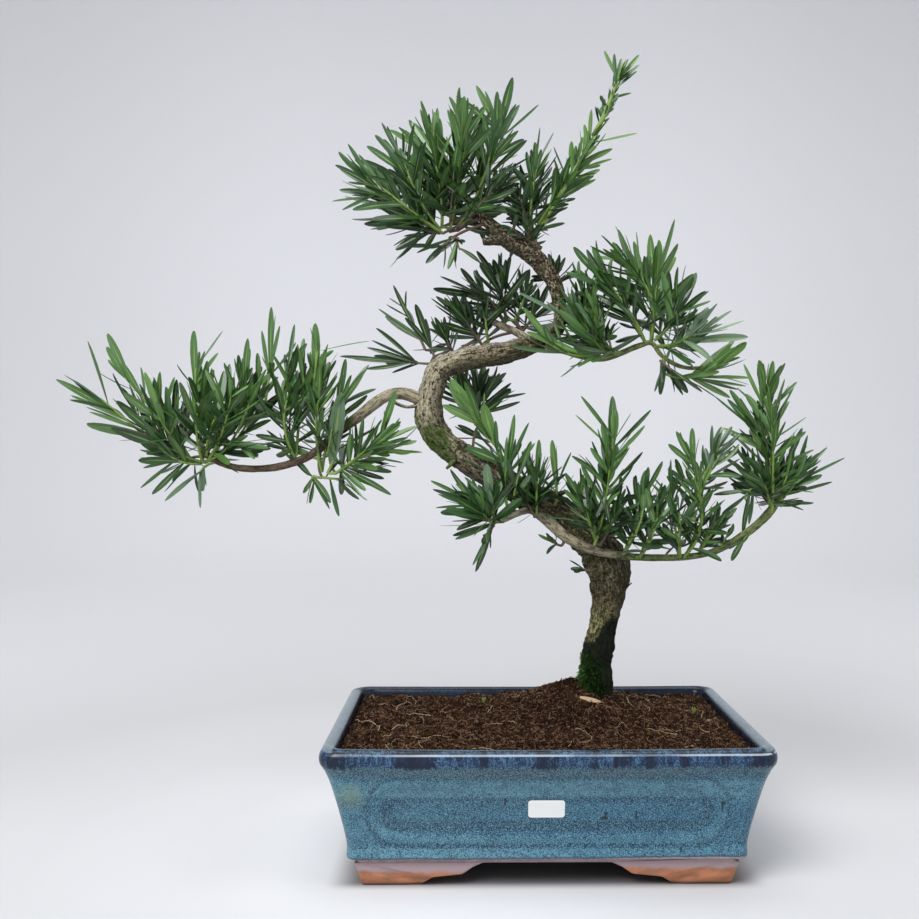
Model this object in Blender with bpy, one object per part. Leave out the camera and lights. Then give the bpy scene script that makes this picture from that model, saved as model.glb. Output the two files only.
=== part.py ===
"""Buddhist pine bonsai, standing in its glazed rectangular pot.

One winding trunk in five lengths, its boughs, and the masses of leaves that
they carry, over a low pot with four bracket feet and a fill of soil.
Lengths are metres, +Z is up, and the front of the pot looks along -Y.
The origin is on the ground, under the middle of the whole plant's box.
"""

import math
import random

import bmesh
import bpy
from mathutils import Vector, noise
from mathutils.bvhtree import BVHTree

MM = 0.001
GAP = 0.0003  # left between pieces that touch
SEED = 11

# The pot's centre, as seen from the origin
POT_CENTRE = (0.0649, -0.0103)

# Pot
POT_WIDTH = 0.300
POT_DEPTH = 0.208
POT_HEIGHT = 0.096
POT_UNDERSIDE = 0.0166
LIP_WIDTH = 0.011
WALL_FOOT_INSET = 0.0168  # how far the wall draws in from lip to foot
CORNER_RADIUS = 0.013
CORNER_STEPS = 4
FLOOR_THICKNESS = 0.010

# Feet
FOOT_INSET = 0.0222  # from the lip's widest line to the foot's outer face
FOOT_FRONT_LENGTH = 0.086
FOOT_SIDE_LENGTH = 0.062
FOOT_THICKNESS = 0.015
FOOT_CHAMFER = 0.0045

# Soil
SOIL_EDGE = 0.0895
MOUND_HEIGHT = 0.021
MOUND_SPREAD = 0.034
MOUND_CENTRE = (0.026, 0.034)
SOIL_RINGS = (0.82, 0.62, 0.42, 0.24, 0.10)

# Trunk and boughs: x, y, z and thickness in millimetres, from the pot's centre
TRUNK_STEPS = 3  # stretches between two given points
BOUGH_STEPS = 2
LIMB_SIDES = 2  # bevel resolution, for eight sides
SQUARE_END = 0.0025  # straight stretch where two lengths of trunk meet
TRUNK = (
    (43.6, 30, 100, 28),
    (44.5, 30, 112, 24),
    (46.0, 30, 136, 23),
    (50.5, 30, 157, 21),
    (54.5, 30, 180, 26),
    (54.0, 30, 200, 33),
    (43.5, 29, 219, 29),
    (18.5, 28, 241, 24),
    (-13.6, 25, 259, 22),
    (-50.8, 23, 278, 22),
    (-75.5, 22, 295, 23),
    (-83.8, 22, 313, 22),
    (-83.0, 22, 333, 20),
    (-74.5, 24, 351, 18.5),
    (-57.0, 27, 359, 18),
    (-28.7, 31, 364, 17),
    (-10.0, 33, 369.5, 15.5),
    (8.0, 36, 376.5, 13.5),
    (17.4, 39, 389, 12),
    (17.6, 39, 405, 10),
    (11.5, 37, 424, 9.5),
    (-3.0, 34, 441, 10.5),
    (-23.0, 30, 452, 10),
    (-38.0, 28, 464, 9),
)
# The trunk is split where it bends: first and last of the points above
TRUNK_LENGTHS = {
    "trunk_foot": (0, 5),
    "trunk_diagonal": (5, 9),
    "trunk_elbow": (9, 14),
    "trunk_arch": (14, 17),
    "trunk_top": (17, 23),
}
BOUGHS = {
    "bough_left": (
        (-82.0, 22, 326, 10),
        (-94.0, 20, 330.5, 9),
        (-106.0, 17, 333.5, 8),
        (-118.0, 14, 330.5, 8),
        (-134.9, 10, 317, 7.5),
        (-150.0, 7, 304, 7),
    ),
    "bough_left_outer": (
        (-174.0, 5, 284, 6),
        (-195.0, 2, 277.5, 5.5),
        (-221.0, 0, 277, 5),
        (-244.0, -3, 287, 4.5),
    ),
    "bough_right": (
        (4.0, 35, 375, 9),
        (22.0, 28, 366, 7),
        (48.0, 19, 359.5, 6),
        (74.0, 13, 368, 5),
    ),
    "bough_front": (
        (4.0, 22, 241, 9),
        (15.5, 12, 229, 8.5),
        (27.0, 8, 221.5, 8),
        (46.6, 6, 214.2, 7.5),
        (82.2, -1, 210.8, 6.5),
        (121.1, -6, 214.1, 5.5),
        (168.0, -10, 246, 6),
    ),
    "bough_low": (
        (-2.0, 20, 247, 6),
        (-14.0, 8, 244, 5),
        (-30.0, 1, 238, 4),
    ),
    "bough_back": (
        (-2.0, 36, 373, 7),
        (-16.0, 50, 383, 6),
        (-34.0, 68, 394, 5),
    ),
    "bough_apex": (
        (3.0, 35, 434, 7),
        (-2.0, 37, 449, 6),
        (-5.5, 38, 466, 5),
    ),
}
# The masses that each bough ends in
ENDS_IN = {
    "bough_left": ("leaves_left_inner", "leaves_left_front"),
    "bough_left_outer": ("leaves_far_left", "leaves_far_left_top", "leaves_left_middle"),
    "bough_right": ("leaves_right_shoot", "leaves_right_fan"),
    "bough_front": ("leaves_low_right_tall", "leaves_low_right_end"),
    "bough_low": ("leaves_low_centre", "leaves_low_drop"),
    "bough_back": ("leaves_back",),
    "bough_apex": ("leaves_apex_right",),
}

# Masses of leaves: foot, furthest tip, half breadth and half depth, in
# millimetres from the pot's centre. A mass is narrow at its foot, broadest
# past its middle, and ragged where its leaf tips stand out.
MASS_SEGMENTS = 8
MASS_RINGS = 8
MASS_RAGGED = 0.28
SWELL_PEAK = 0.41  # the most that the swell formula reaches, past the middle
MASSES = {
    "leaves_far_left": ((-241, -2, 289), (-355, -4, 346), 27, 36),
    "leaves_far_left_top": ((-240, -4, 286), (-231, -6, 378), 32, 42),
    "leaves_far_left_drop": ((-240, -4, 276), (-292, -8, 258), 17, 20),
    "leaves_left_middle": ((-184, 6, 282), (-197, 8, 395), 27, 42),
    "leaves_left_inner": ((-158, 6, 276), (-146, 4, 371), 25, 44),
    "leaves_left_front": ((-168, -2, 272), (-87, -6, 291), 24, 36),
    "leaves_left_drop": ((-168, 8, 268), (-140, 6, 248), 18, 22),
    "leaves_right_inner": ((44, 20, 364), (-14, 20, 404), 22, 36),
    "leaves_right_middle": ((54, 22, 364), (38, 24, 425), 19, 30),
    "leaves_right_shoot": ((80, 14, 370), (58, 16, 458), 32, 40),
    "leaves_right_fan": ((84, 6, 366), (155, 2, 381), 34, 38),
    "leaves_back": ((-26, 66, 380), (-47, 84, 452), 36, 40),
    "leaves_back_left": ((-74, 66, 362), (-124, 74, 415), 24, 30),
    "leaves_back_sprig": ((20, 52, 414), (8, 66, 456), 9, 14),
    "leaves_bend_front": ((-28, 12, 286), (-65, 10, 346), 13, 14),
    "leaves_bend_back": ((-48, 48, 310), (-4, 52, 339), 23, 16),
    "leaves_low_centre": ((-28, 0, 240), (-79, -6, 268), 24, 30),
    "leaves_low_drop": ((-28, -4, 236), (-45, -10, 199), 11, 14),
    "leaves_low_left_shoot": ((-20, 6, 252), (-15, 2, 317), 17, 14),
    "leaves_low_middle_shoot": ((8, 10, 252), (11, 6, 300), 15, 14),
    "leaves_low_right_first": ((40, -2, 222), (56, -8, 331), 33, 34),
    "leaves_low_right_second": ((66, -6, 216), (84, -12, 284), 20, 36),
    "leaves_low_right_third": ((104, -8, 218), (120, -12, 308), 32, 38),
    "leaves_low_right_fourth": ((132, -8, 222), (136, -10, 273), 15, 24),
    "leaves_low_right_tall": ((164, -12, 250), (168, -14, 357), 30, 38),
    "leaves_low_right_end": ((174, -10, 250), (221, -12, 284), 24, 34),
    "leaves_apex_left": ((-62, 26, 456), (-155, 22, 512), 34, 42),
    "leaves_apex_crest": ((-58, 28, 456), (-70, 30, 557), 36, 52),
    "leaves_apex_middle": ((-42, 32, 468), (-21, 30, 576), 25, 42),
    "leaves_apex_drop": ((-64, 22, 452), (-92, 20, 432), 16, 26),
    "leaves_apex_right": ((-4, 38, 462), (6, 38, 544), 28, 38),
    "leaves_leader": ((13, 38, 486), (70, 36, 597), 21, 26),
}

# Colours
GLAZE = (0.075, 0.225, 0.340)
BARE_CLAY = (0.330, 0.165, 0.085)
SOIL = (0.050, 0.022, 0.012)
BARK = (0.150, 0.120, 0.078)
TWIG = (0.170, 0.150, 0.070)
LEAF = (0.030, 0.110, 0.035)


def clear_scene():
    for obj in list(bpy.data.objects):
        bpy.data.objects.remove(obj, do_unlink=True)


def make_collection(name, hidden=False):
    collection = bpy.data.collections.new(name)
    bpy.context.scene.collection.children.link(collection)
    collection.hide_render = hidden
    return collection


def make_material(name, colour, roughness, metallic=0.0):
    material = bpy.data.materials.new(name)
    material.use_nodes = True
    shader = material.node_tree.nodes["Principled BSDF"]
    shader.inputs["Base Color"].default_value = (*colour, 1.0)
    shader.inputs["Roughness"].default_value = roughness
    shader.inputs["Metallic"].default_value = metallic
    return material


def add_object(name, mesh, material, collection, parent):
    obj = bpy.data.objects.new(name, mesh)
    mesh.materials.clear()
    mesh.materials.append(material)
    collection.objects.link(obj)
    obj.parent = parent
    return obj


def as_cutter(obj):
    """Mark an object as a cutting tool: it is never part of the plant."""
    obj.hide_render = True
    obj.display_type = "WIRE"
    return obj


def evaluated_mesh(obj):
    depsgraph = bpy.context.evaluated_depsgraph_get()
    return bpy.data.meshes.new_from_object(obj.evaluated_get(depsgraph))


def mesh_from_bmesh(name, bm):
    bm.normal_update()
    bmesh.ops.recalc_face_normals(bm, faces=bm.faces)
    bmesh.ops.triangulate(bm, faces=bm.faces, quad_method="FIXED")
    mesh = bpy.data.meshes.new(name)
    bm.to_mesh(mesh)
    bm.free()
    return mesh


def surface_tree(obj):
    bm = bmesh.new()
    bm.from_mesh(obj.data)
    tree = BVHTree.FromBMesh(bm)
    bm.free()
    return tree


def meet(one, other):
    return bool(surface_tree(one).overlap(surface_tree(other)))


def keep_largest_body(mesh):
    """Drop the crumbs that a cut can leave beside the main body."""
    bm = bmesh.new()
    bm.from_mesh(mesh)
    unseen = set(bm.verts)
    bodies = []
    while unseen:
        body = set()
        front = [unseen.pop()]
        while front:
            vert = front.pop()
            body.add(vert)
            near = {edge.other_vert(vert) for edge in vert.link_edges} & unseen
            unseen -= near
            front.extend(near)
        bodies.append(body)
    bodies.sort(key=len)
    spare = [vert for body in bodies[:-1] for vert in body]
    bmesh.ops.delete(bm, geom=spare, context="VERTS")
    bm.to_mesh(mesh)
    bm.free()


def carve(target, cutters):
    """Cut each cutter out of the target and keep the result as its mesh."""
    for cutter in cutters:
        cut = target.modifiers.new("Cut", "BOOLEAN")
        cut.operation = "DIFFERENCE"
        cut.solver = "EXACT"
        cut.object = cutter
    if not cutters:
        return
    bpy.context.view_layer.update()
    carved = evaluated_mesh(target)
    target.modifiers.clear()
    target.data = carved
    keep_largest_body(carved)


def rounded_ring(inset, height):
    """A rounded rectangle, drawn in from the lip's widest line."""
    half_width = POT_WIDTH / 2 - inset
    half_depth = POT_DEPTH / 2 - inset
    radius = max(CORNER_RADIUS - 0.35 * inset, 0.004)
    ring = []
    for quarter, (sign_x, sign_y) in enumerate(((1, 1), (-1, 1), (-1, -1), (1, -1))):
        for step in range(CORNER_STEPS + 1):
            turn = math.pi / 2 * (quarter + step / CORNER_STEPS)
            x = sign_x * (half_width - radius) + radius * math.cos(turn)
            y = sign_y * (half_depth - radius) + radius * math.sin(turn)
            ring.append(Vector((x, y, height)))
    return ring


def loft(name, rings):
    """Join rings of equal count and close both ends with a fan to the middle."""
    bm = bmesh.new()
    loops = [[bm.verts.new(point) for point in ring] for ring in rings]
    count = len(rings[0])
    for lower, upper in zip(loops, loops[1:]):
        for i in range(count):
            j = (i + 1) % count
            bm.faces.new((lower[i], lower[j], upper[j], upper[i]))
    for ring, loop in ((rings[0], loops[0]), (rings[-1], loops[-1])):
        middle = bm.verts.new(sum(ring, Vector()) / count)
        for i in range(count):
            bm.faces.new((loop[i], loop[(i + 1) % count], middle))
    return mesh_from_bmesh(name, bm)


def pot_shell():
    """The wall flares in a hollow curve from its foot to a rolled lip."""
    foot_roll = POT_UNDERSIDE + 0.0034
    outside = (
        (FOOT_INSET, POT_UNDERSIDE),
        (FOOT_INSET, foot_roll - 0.0006),
        (WALL_FOOT_INSET + 0.0010, foot_roll),
        (WALL_FOOT_INSET, foot_roll + 0.0030),
        (WALL_FOOT_INSET, 0.0308),
        (0.0126, 0.0502),
        (0.0072, 0.0704),
        (0.0026, 0.0805),
        (0.0, 0.0885),
    )
    lip = (
        (0.0018, POT_HEIGHT - 0.0035),
        (0.0055, POT_HEIGHT),
        (LIP_WIDTH - 0.0015, POT_HEIGHT - 0.0015),
        (LIP_WIDTH, POT_HEIGHT - 0.0055),
    )
    inside = inner_wall()
    rings = [rounded_ring(inset, height) for inset, height in outside + lip + inside]
    return loft("pot", rings)


def inner_wall():
    """Inset and height down the inside of the wall to the pot's floor."""
    floor = POT_UNDERSIDE + FLOOR_THICKNESS
    return (
        (LIP_WIDTH + 0.0045, 0.0700),
        (LIP_WIDTH + 0.0140, 0.0380),
        (LIP_WIDTH + 0.0200, floor),
    )


def soil_height(x, y):
    """Nearly level, heaped to the left of the trunk's foot."""
    away = Vector((x, y)) - Vector(MOUND_CENTRE)
    mound = MOUND_HEIGHT * math.exp(-0.5 * (away.length / MOUND_SPREAD) ** 2)
    ripple = 0.0012 * noise.noise(Vector((x, y, 0.0)) * 45.0)
    return SOIL_EDGE + mound + ripple


def soil_fill():
    """Soil up the inside of the pot, with a top that follows soil_height."""
    lip_edge = (LIP_WIDTH + 0.0006, SOIL_EDGE)
    walls = [lip_edge, *inner_wall()]
    rings = []
    for inset, height in reversed(walls):
        rings.append(rounded_ring(inset + 2 * GAP, max(height, POT_UNDERSIDE + FLOOR_THICKNESS + GAP)))
    edge = rings[-1]
    middle = Vector((*MOUND_CENTRE, 0.0))
    for share in SOIL_RINGS:
        ring = []
        for point in edge:
            x = middle.x + (point.x - middle.x) * share
            y = middle.y + (point.y - middle.y) * share
            ring.append(Vector((x, y, soil_height(x, y))))
        rings.append(ring)
    return loft("soil", rings)


def foot_wing(length, turned, collection):
    """One side of a bracket foot: a flat outline with a stepped lower edge.

    It is drawn from the corner, at the origin, inwards along +X, or along +Y
    when turned.
    """
    top = POT_UNDERSIDE - GAP
    outline = (
        (0.0, 0.0),
        (length * 0.51, 0.0),
        (length * 0.60, top * 0.38),
        (length * 0.83, top * 0.50),
        (length * 0.91, top * 0.79),
        (length, top),
        (0.0, top),
    )
    curve = bpy.data.curves.new("foot_wing", "CURVE")
    curve.dimensions = "2D"
    curve.fill_mode = "BOTH"
    curve.extrude = FOOT_THICKNESS / 2
    spline = curve.splines.new("POLY")
    spline.points.add(len(outline) - 1)
    spline.use_cyclic_u = True
    for point, (along, up) in zip(spline.points, outline):
        point.co = (along, up, 0.0, 1.0)
    bm = mesh_of_curve(curve, collection)
    for vert in bm.verts:
        along, up, across = vert.co
        inward = across + FOOT_THICKNESS / 2
        vert.co = (inward, along, up) if turned else (along, inward, up)
    return mesh_from_bmesh("foot_wing", bm)


def bracket_foot(name, sign_x, sign_y, material, cutters, plant, stand):
    """Two wings that meet at a corner of the pot, chamfered along the ground."""
    front = foot_wing(FOOT_FRONT_LENGTH, False, cutters)
    side = foot_wing(FOOT_SIDE_LENGTH, True, cutters)
    foot = add_object(name, front, material, plant, stand)
    helper = as_cutter(add_object(name + "_side", side, material, cutters, None))
    join = foot.modifiers.new("Join", "BOOLEAN")
    join.operation = "UNION"
    join.solver = "EXACT"
    join.object = helper
    bpy.context.view_layer.update()
    bm = bmesh.new()
    bm.from_mesh(evaluated_mesh(foot))
    foot.modifiers.clear()
    shape = [*bm.verts, *bm.edges, *bm.faces]
    level = Vector((0.0, 0.0, FOOT_CHAMFER * 1.6))
    bmesh.ops.bisect_plane(bm, geom=shape, dist=1e-6, plane_co=level, plane_no=(0, 0, 1))
    corner_x = POT_WIDTH / 2 - FOOT_INSET
    corner_y = POT_DEPTH / 2 - FOOT_INSET
    bmesh.ops.dissolve_limit(bm, angle_limit=0.01, verts=bm.verts, edges=bm.edges)
    for vert in bm.verts:
        x, y, z = vert.co
        if z < 1e-5:
            x = max(x, FOOT_CHAMFER)
            y = max(y, FOOT_CHAMFER)
        vert.co = (sign_x * (corner_x - x), sign_y * (corner_y - y), z)
    foot.data = mesh_from_bmesh(name, bm)
    foot.data.materials.append(material)
    return foot


def catmull(a, b, c, d, t):
    """The value between b and c on a smooth curve through a, b, c and d."""
    linear = (c - a) * t
    square = (2 * a - 5 * b + 4 * c - d) * t**2
    cube = (3 * b - a - 3 * c + d) * t**3
    return 0.5 * (2 * b + linear + square + cube)


def smooth_path(points, steps):
    """Places and radii in metres, on a smooth curve through the given points."""
    before_first = [2 * a - b for a, b in zip(points[0], points[1])]
    after_last = [2 * a - b for a, b in zip(points[-1], points[-2])]
    guide = [before_first, *points, after_last]
    path = []
    for k in range(1, len(guide) - 2):
        for step in range(steps):
            t = step / steps
            path.append([catmull(*values, t) for values in zip(*guide[k - 1 : k + 3])])
    path.append(points[-1])
    return [(Vector(point[:3]) * MM, point[3] * MM / 2) for point in path]


def trunk_length(path, first, last):
    """Part of the trunk's path, with square ends where it meets the next part."""
    start, end = first * TRUNK_STEPS, last * TRUNK_STEPS
    part = list(path[start : end + 1])
    if start > 0:
        along = (path[start + 1][0] - path[start - 1][0]).normalized()
        place, radius = part[0]
        part[0] = (place + along * GAP / 2, radius)
        part.insert(1, (place + along * SQUARE_END, radius))
    if end < len(path) - 1:
        along = (path[end + 1][0] - path[end - 1][0]).normalized()
        place, radius = part[-1]
        part[-1] = (place - along * GAP / 2, radius)
        part.insert(-1, (place - along * SQUARE_END, radius))
    return part


def mesh_of_curve(curve, collection):
    """A curve's surface with its caps welded on, as a bmesh."""
    obj = bpy.data.objects.new(curve.name, curve)
    collection.objects.link(obj)
    bpy.context.view_layer.update()
    mesh = evaluated_mesh(obj)
    bpy.data.objects.remove(obj, do_unlink=True)
    bm = bmesh.new()
    bm.from_mesh(mesh)
    bmesh.ops.remove_doubles(bm, verts=bm.verts, dist=1e-6)
    return bm


def limb_mesh(name, path, collection, grow=0.0):
    """A closed tapering tube; grow makes it fatter and longer, as a cutter."""
    first = (path[1][0] - path[0][0]).normalized()
    last = (path[-1][0] - path[-2][0]).normalized()
    curve = bpy.data.curves.new(name, "CURVE")
    curve.dimensions = "3D"
    curve.bevel_depth = 1.0
    curve.bevel_resolution = LIMB_SIDES
    curve.use_fill_caps = True
    spline = curve.splines.new("POLY")
    spline.points.add(len(path) - 1)
    for point, (place, radius) in zip(spline.points, path):
        point.co = (*place, 1.0)
        point.radius = radius + grow
    spline.points[0].co = (*(path[0][0] - first * grow), 1.0)
    spline.points[-1].co = (*(path[-1][0] + last * grow), 1.0)
    return mesh_from_bmesh(name, mesh_of_curve(curve, collection))


def leaf_mass_mesh(name, foot, tip, half_breadth, half_depth, grow=0.0):
    """A ragged closed mass that narrows to its foot and reaches its tip."""
    rng = random.Random(f"{SEED} {name}")
    foot = Vector(foot) * MM
    axis = Vector(tip) * MM - foot
    along = axis.normalized()
    across = along.cross(Vector((0.0, 1.0, 0.0))).normalized()
    deep = across.cross(along)
    bm = bmesh.new()
    bmesh.ops.create_uvsphere(bm, u_segments=MASS_SEGMENTS, v_segments=MASS_RINGS, radius=1.0)
    for vert in bm.verts:
        turn = math.atan2(vert.co.y, vert.co.x)
        t = 1.0 - math.acos(max(-1.0, min(1.0, vert.co.z))) / math.pi
        swell = t**0.75 * (1.0 - t) ** 0.55 / SWELL_PEAK
        stand_out = rng.uniform(-1.0, 1.0) * MASS_RAGGED
        forward = rng.uniform(-0.3, 1.0) * MASS_RAGGED / MASS_RINGS
        reach = swell * (1.0 + stand_out) * MM
        t += forward * math.sin(math.pi * t)
        side = across * (half_breadth * reach * math.cos(turn))
        side += deep * (half_depth * reach * math.sin(turn))
        vert.co = foot + axis * t + side
    bm.normal_update()
    bmesh.ops.recalc_face_normals(bm, faces=bm.faces)
    bm.normal_update()
    moves = [vert.normal * (grow * vert.calc_shell_factor()) for vert in bm.verts]
    for vert, move in zip(bm.verts, moves):
        vert.co += move
    return mesh_from_bmesh(name, bm)


def main():
    clear_scene()
    plant = make_collection("buddhist_pine_bonsai")
    cutters = make_collection("cutters", hidden=True)
    stand = bpy.data.objects.new("pot_centre", None)
    plant.objects.link(stand)

    glaze = make_material("glaze", GLAZE, 0.22)
    clay = make_material("bare_clay", BARE_CLAY, 0.75)
    soil = make_material("soil", SOIL, 0.95)
    bark = make_material("bark", BARK, 0.85)
    twig = make_material("twig", TWIG, 0.80)
    leaf = make_material("leaf", LEAF, 0.45)

    def cutter(name, mesh):
        return as_cutter(add_object(name + "_cutter", mesh, leaf, cutters, None))

    add_object("pot", pot_shell(), glaze, plant, stand)
    for end, sign_y in (("front", -1), ("back", 1)):
        for side, sign_x in (("left", -1), ("right", 1)):
            bracket_foot(f"foot_{end}_{side}", sign_x, sign_y, clay, cutters, plant, stand)

    path = smooth_path(TRUNK, TRUNK_STEPS)
    trunk_cutters = []
    for name, (first, last) in TRUNK_LENGTHS.items():
        part = trunk_length(path, first, last)
        add_object(name, limb_mesh(name, part, cutters), bark, plant, stand)
        trunk_cutters.append(cutter(name, limb_mesh(name, part, cutters, GAP)))
    fill = add_object("soil", soil_fill(), soil, plant, stand)
    carve(fill, trunk_cutters[:1])

    mass_cutters = {}
    for name, sizes in MASSES.items():
        mass_cutters[name] = cutter(name, leaf_mass_mesh(name, *sizes, 2 * GAP))
    bough_cutters = {}
    for name, points in BOUGHS.items():
        bough_path = smooth_path(points, BOUGH_STEPS)
        bough = add_object(name, limb_mesh(name, bough_path, cutters), twig, plant, stand)
        bough_cutters[name] = cutter(name, limb_mesh(name, bough_path, cutters, GAP))
        ends = [mass_cutters[mass] for mass in ENDS_IN[name]]
        carve(bough, [tool for tool in trunk_cutters + ends if meet(bough, tool)])

    done = []
    for name, sizes in MASSES.items():
        mass = add_object(name, leaf_mass_mesh(name, *sizes), leaf, plant, stand)
        passing = [bough_cutters[bough] for bough in BOUGHS if name not in ENDS_IN[bough]]
        tools = trunk_cutters + passing + done
        carve(mass, [tool for tool in tools if meet(mass, tool)])
        done.append(mass_cutters[name])

    stand.location = (*POT_CENTRE, 0.0)
    bpy.context.view_layer.update()


if __name__ == "__main__":
    main()
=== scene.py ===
"""Looks of a buddhist pine bonsai in its glazed pot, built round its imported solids.

The pot, its feet, the soil, the trunk and the boughs are made again in fine
detail where their solids stand, and every mass of leaves gives way to shoots
that grow from the limbs by a seeded rule. Lengths are metres, unless a name or
a comment says millimetres, and +Z is up.
"""

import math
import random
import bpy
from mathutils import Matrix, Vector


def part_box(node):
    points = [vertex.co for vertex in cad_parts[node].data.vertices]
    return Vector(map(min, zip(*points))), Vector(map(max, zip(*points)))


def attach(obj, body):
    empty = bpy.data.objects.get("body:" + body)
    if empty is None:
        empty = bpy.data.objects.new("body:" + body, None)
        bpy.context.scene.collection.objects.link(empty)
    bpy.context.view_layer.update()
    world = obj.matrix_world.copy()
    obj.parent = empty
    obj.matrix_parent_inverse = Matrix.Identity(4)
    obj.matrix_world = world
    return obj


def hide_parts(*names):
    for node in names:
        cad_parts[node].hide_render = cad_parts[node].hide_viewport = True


bl_info = {
    "name": "Buddhist Pine Bonsai",
    "version": (1, 0, 0),
    "blender": (4, 5, 0),
    "location": "View3D > Sidebar > Bonsai",
    "description": "Builds a buddhist pine in its glazed pot round its packed solids",
    "category": "Add Mesh",
}

import bmesh
import bpy
import numpy as np
from mathutils import Quaternion, Vector, noise

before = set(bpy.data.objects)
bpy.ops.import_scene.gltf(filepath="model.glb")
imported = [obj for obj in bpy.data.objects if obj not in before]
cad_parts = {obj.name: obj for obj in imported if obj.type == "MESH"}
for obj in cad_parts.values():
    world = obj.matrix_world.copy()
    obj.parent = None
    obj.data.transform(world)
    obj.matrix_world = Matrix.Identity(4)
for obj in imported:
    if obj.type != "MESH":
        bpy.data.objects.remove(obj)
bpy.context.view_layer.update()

MM = 0.001
UP = Vector((0.0, 0.0, 1.0))
POT_LOW, POT_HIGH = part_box("pot")
POT_MIDDLE = Vector(((POT_LOW.x + POT_HIGH.x) / 2, (POT_LOW.y + POT_HIGH.y) / 2, 0.0))
HALF_WIDTH = (POT_HIGH.x - POT_LOW.x) / 2
HALF_DEPTH = (POT_HIGH.y - POT_LOW.y) / 2
FEET = ("foot_front_left", "foot_front_right", "foot_back_left", "foot_back_right")

# The pot: how far in from the lip's widest line, and how high, in millimetres
WALL_OUTSIDE = (
    (22.2, 16.4),
    (21.8, 19.0),
    (18.4, 19.8),
    (16.9, 21.4),
    (16.8, 30.8),
    (12.6, 50.2),
    (7.2, 70.4),
    (3.4, 80.5),
)
LIP = (
    (0.6, 85.2),
    (0.0, 88.5),
    (0.5, 91.8),
    (2.2, 94.6),
    (5.0, 96.0),
    (8.2, 95.6),
    (10.2, 93.6),
    (11.2, 90.4),
)
WALL_INSIDE = ((12.2, 86.0), (15.5, 70.0), (25.0, 38.0), (31.0, 27.0))
WALL_STEPS = 7  # rows between two points of the wall
LIP_STEPS = 3
CORNER_RADIUS = 0.013
CORNER_DRAW = 0.35  # share of the inset that a corner's radius loses
LEAST_RADIUS = 0.004
CORNER_STEPS = 8
LONG_STEPS = 90
SHORT_STEPS = 56
RIM_BOW = 0.0016
RIM_SAG = 0.0008
PANEL_HALF_LENGTH = 0.1100
PANEL_LOW = 0.0375
PANEL_HIGH = 0.0690
PANEL_CORNER = 0.0135
PANEL_EDGE = 0.0040

# Soil, from the pot's centre
SOIL_EDGE = 0.0895
MOUND_HEIGHT = 0.021
MOUND_SPREAD = 0.034
MOUND_CENTRE = Vector((0.026, 0.034))
HEAP_HEIGHT = 0.0050
HEAP_SPREAD = 0.0085
HEAP_CENTRE = Vector((0.028, 0.030))
SOIL_RINGS = 52

# Trunk and boughs: x, y, z and thickness in millimetres, from the pot's centre
TRUNK = (
    (43.6, 30, 100, 29),
    (44.5, 30, 112, 24),
    (46.0, 30, 136, 23),
    (50.5, 30, 157, 21),
    (54.5, 30, 180, 26),
    (54.0, 30, 200, 33),
    (43.5, 29, 219, 29),
    (18.5, 28, 241, 24),
    (-13.6, 25, 259, 22),
    (-48.4, 23, 279.5, 20),
    (-72.4, 22, 296.5, 20.5),
    (-81.6, 22, 313, 21),
    (-81.2, 22, 333, 19.5),
    (-74.5, 24, 351, 18.5),
    (-57.0, 27, 359, 18),
    (-28.7, 31, 364, 17),
    (-10.0, 33, 369.5, 15.5),
    (8.0, 36, 376.5, 13.5),
    (17.4, 39, 389, 11),
    (17.6, 39, 405, 10.8),
    (11.0, 37, 423.5, 12.4),
    (-4.0, 34, 440, 14),
    (-23.5, 30, 451.5, 13.5),
    (-38.0, 28, 464, 9),
    (-50.0, 28, 476, 6),
    (-58.0, 28, 488, 3),
)
TRUNK_LENGTH = 0.560
BOUGHS = {
    "left": (
        (-82.0, 22, 324, 12),
        (-94.0, 20, 330.5, 9.5),
        (-106.0, 17, 332.7, 9.2),
        (-118.0, 14, 328.5, 9),
        (-134.9, 10, 314.8, 8),
        (-150.0, 7, 302.8, 7),
        (-162.0, 6, 292, 6.5),
        (-174.0, 5, 284, 6),
        (-195.0, 2, 277.5, 5.5),
        (-221.0, 0, 277, 5),
        (-240.0, -3, 284, 4.5),
        (-250.0, -4, 296, 3),
    ),
    "right": (
        (2.0, 35, 374, 9),
        (22.0, 28, 366, 6.5),
        (48.0, 19, 359.5, 5),
        (74.0, 13, 368, 4.2),
        (84.0, 10, 370, 3.6),
        (92.0, 8, 360, 3.2),
        (106.0, 6, 352, 3.0),
        (124.0, 4, 352, 2.6),
        (138.0, 3, 360, 2.0),
    ),
    "front": (
        (2.0, 24, 243, 11),
        (15.5, 12, 229, 8.5),
        (27.0, 8, 221.5, 7.6),
        (46.6, 6, 214.2, 6.4),
        (82.2, -1, 210.8, 5.2),
        (121.1, -6, 214.1, 4.8),
        (148.0, -9, 228, 5.6),
        (168.0, -10, 246, 6.2),
        (174.0, -11, 262, 4.5),
        (170.0, -12, 280, 3),
    ),
    "low": (
        (-2.0, 20, 247, 6),
        (-14.0, 8, 244, 5),
        (-30.0, 1, 238, 4),
        (-42.0, -2, 240, 3),
    ),
    "back": (
        (-2.0, 36, 373, 7),
        (-16.0, 50, 383, 6),
        (-34.0, 68, 394, 5),
        (-40.0, 74, 408, 3),
    ),
    "apex": (
        (3.0, 35, 434, 7),
        (-2.0, 37, 449, 6),
        (-5.5, 38, 466, 5),
        (-4.0, 38, 482, 3.4),
    ),
}
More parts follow.
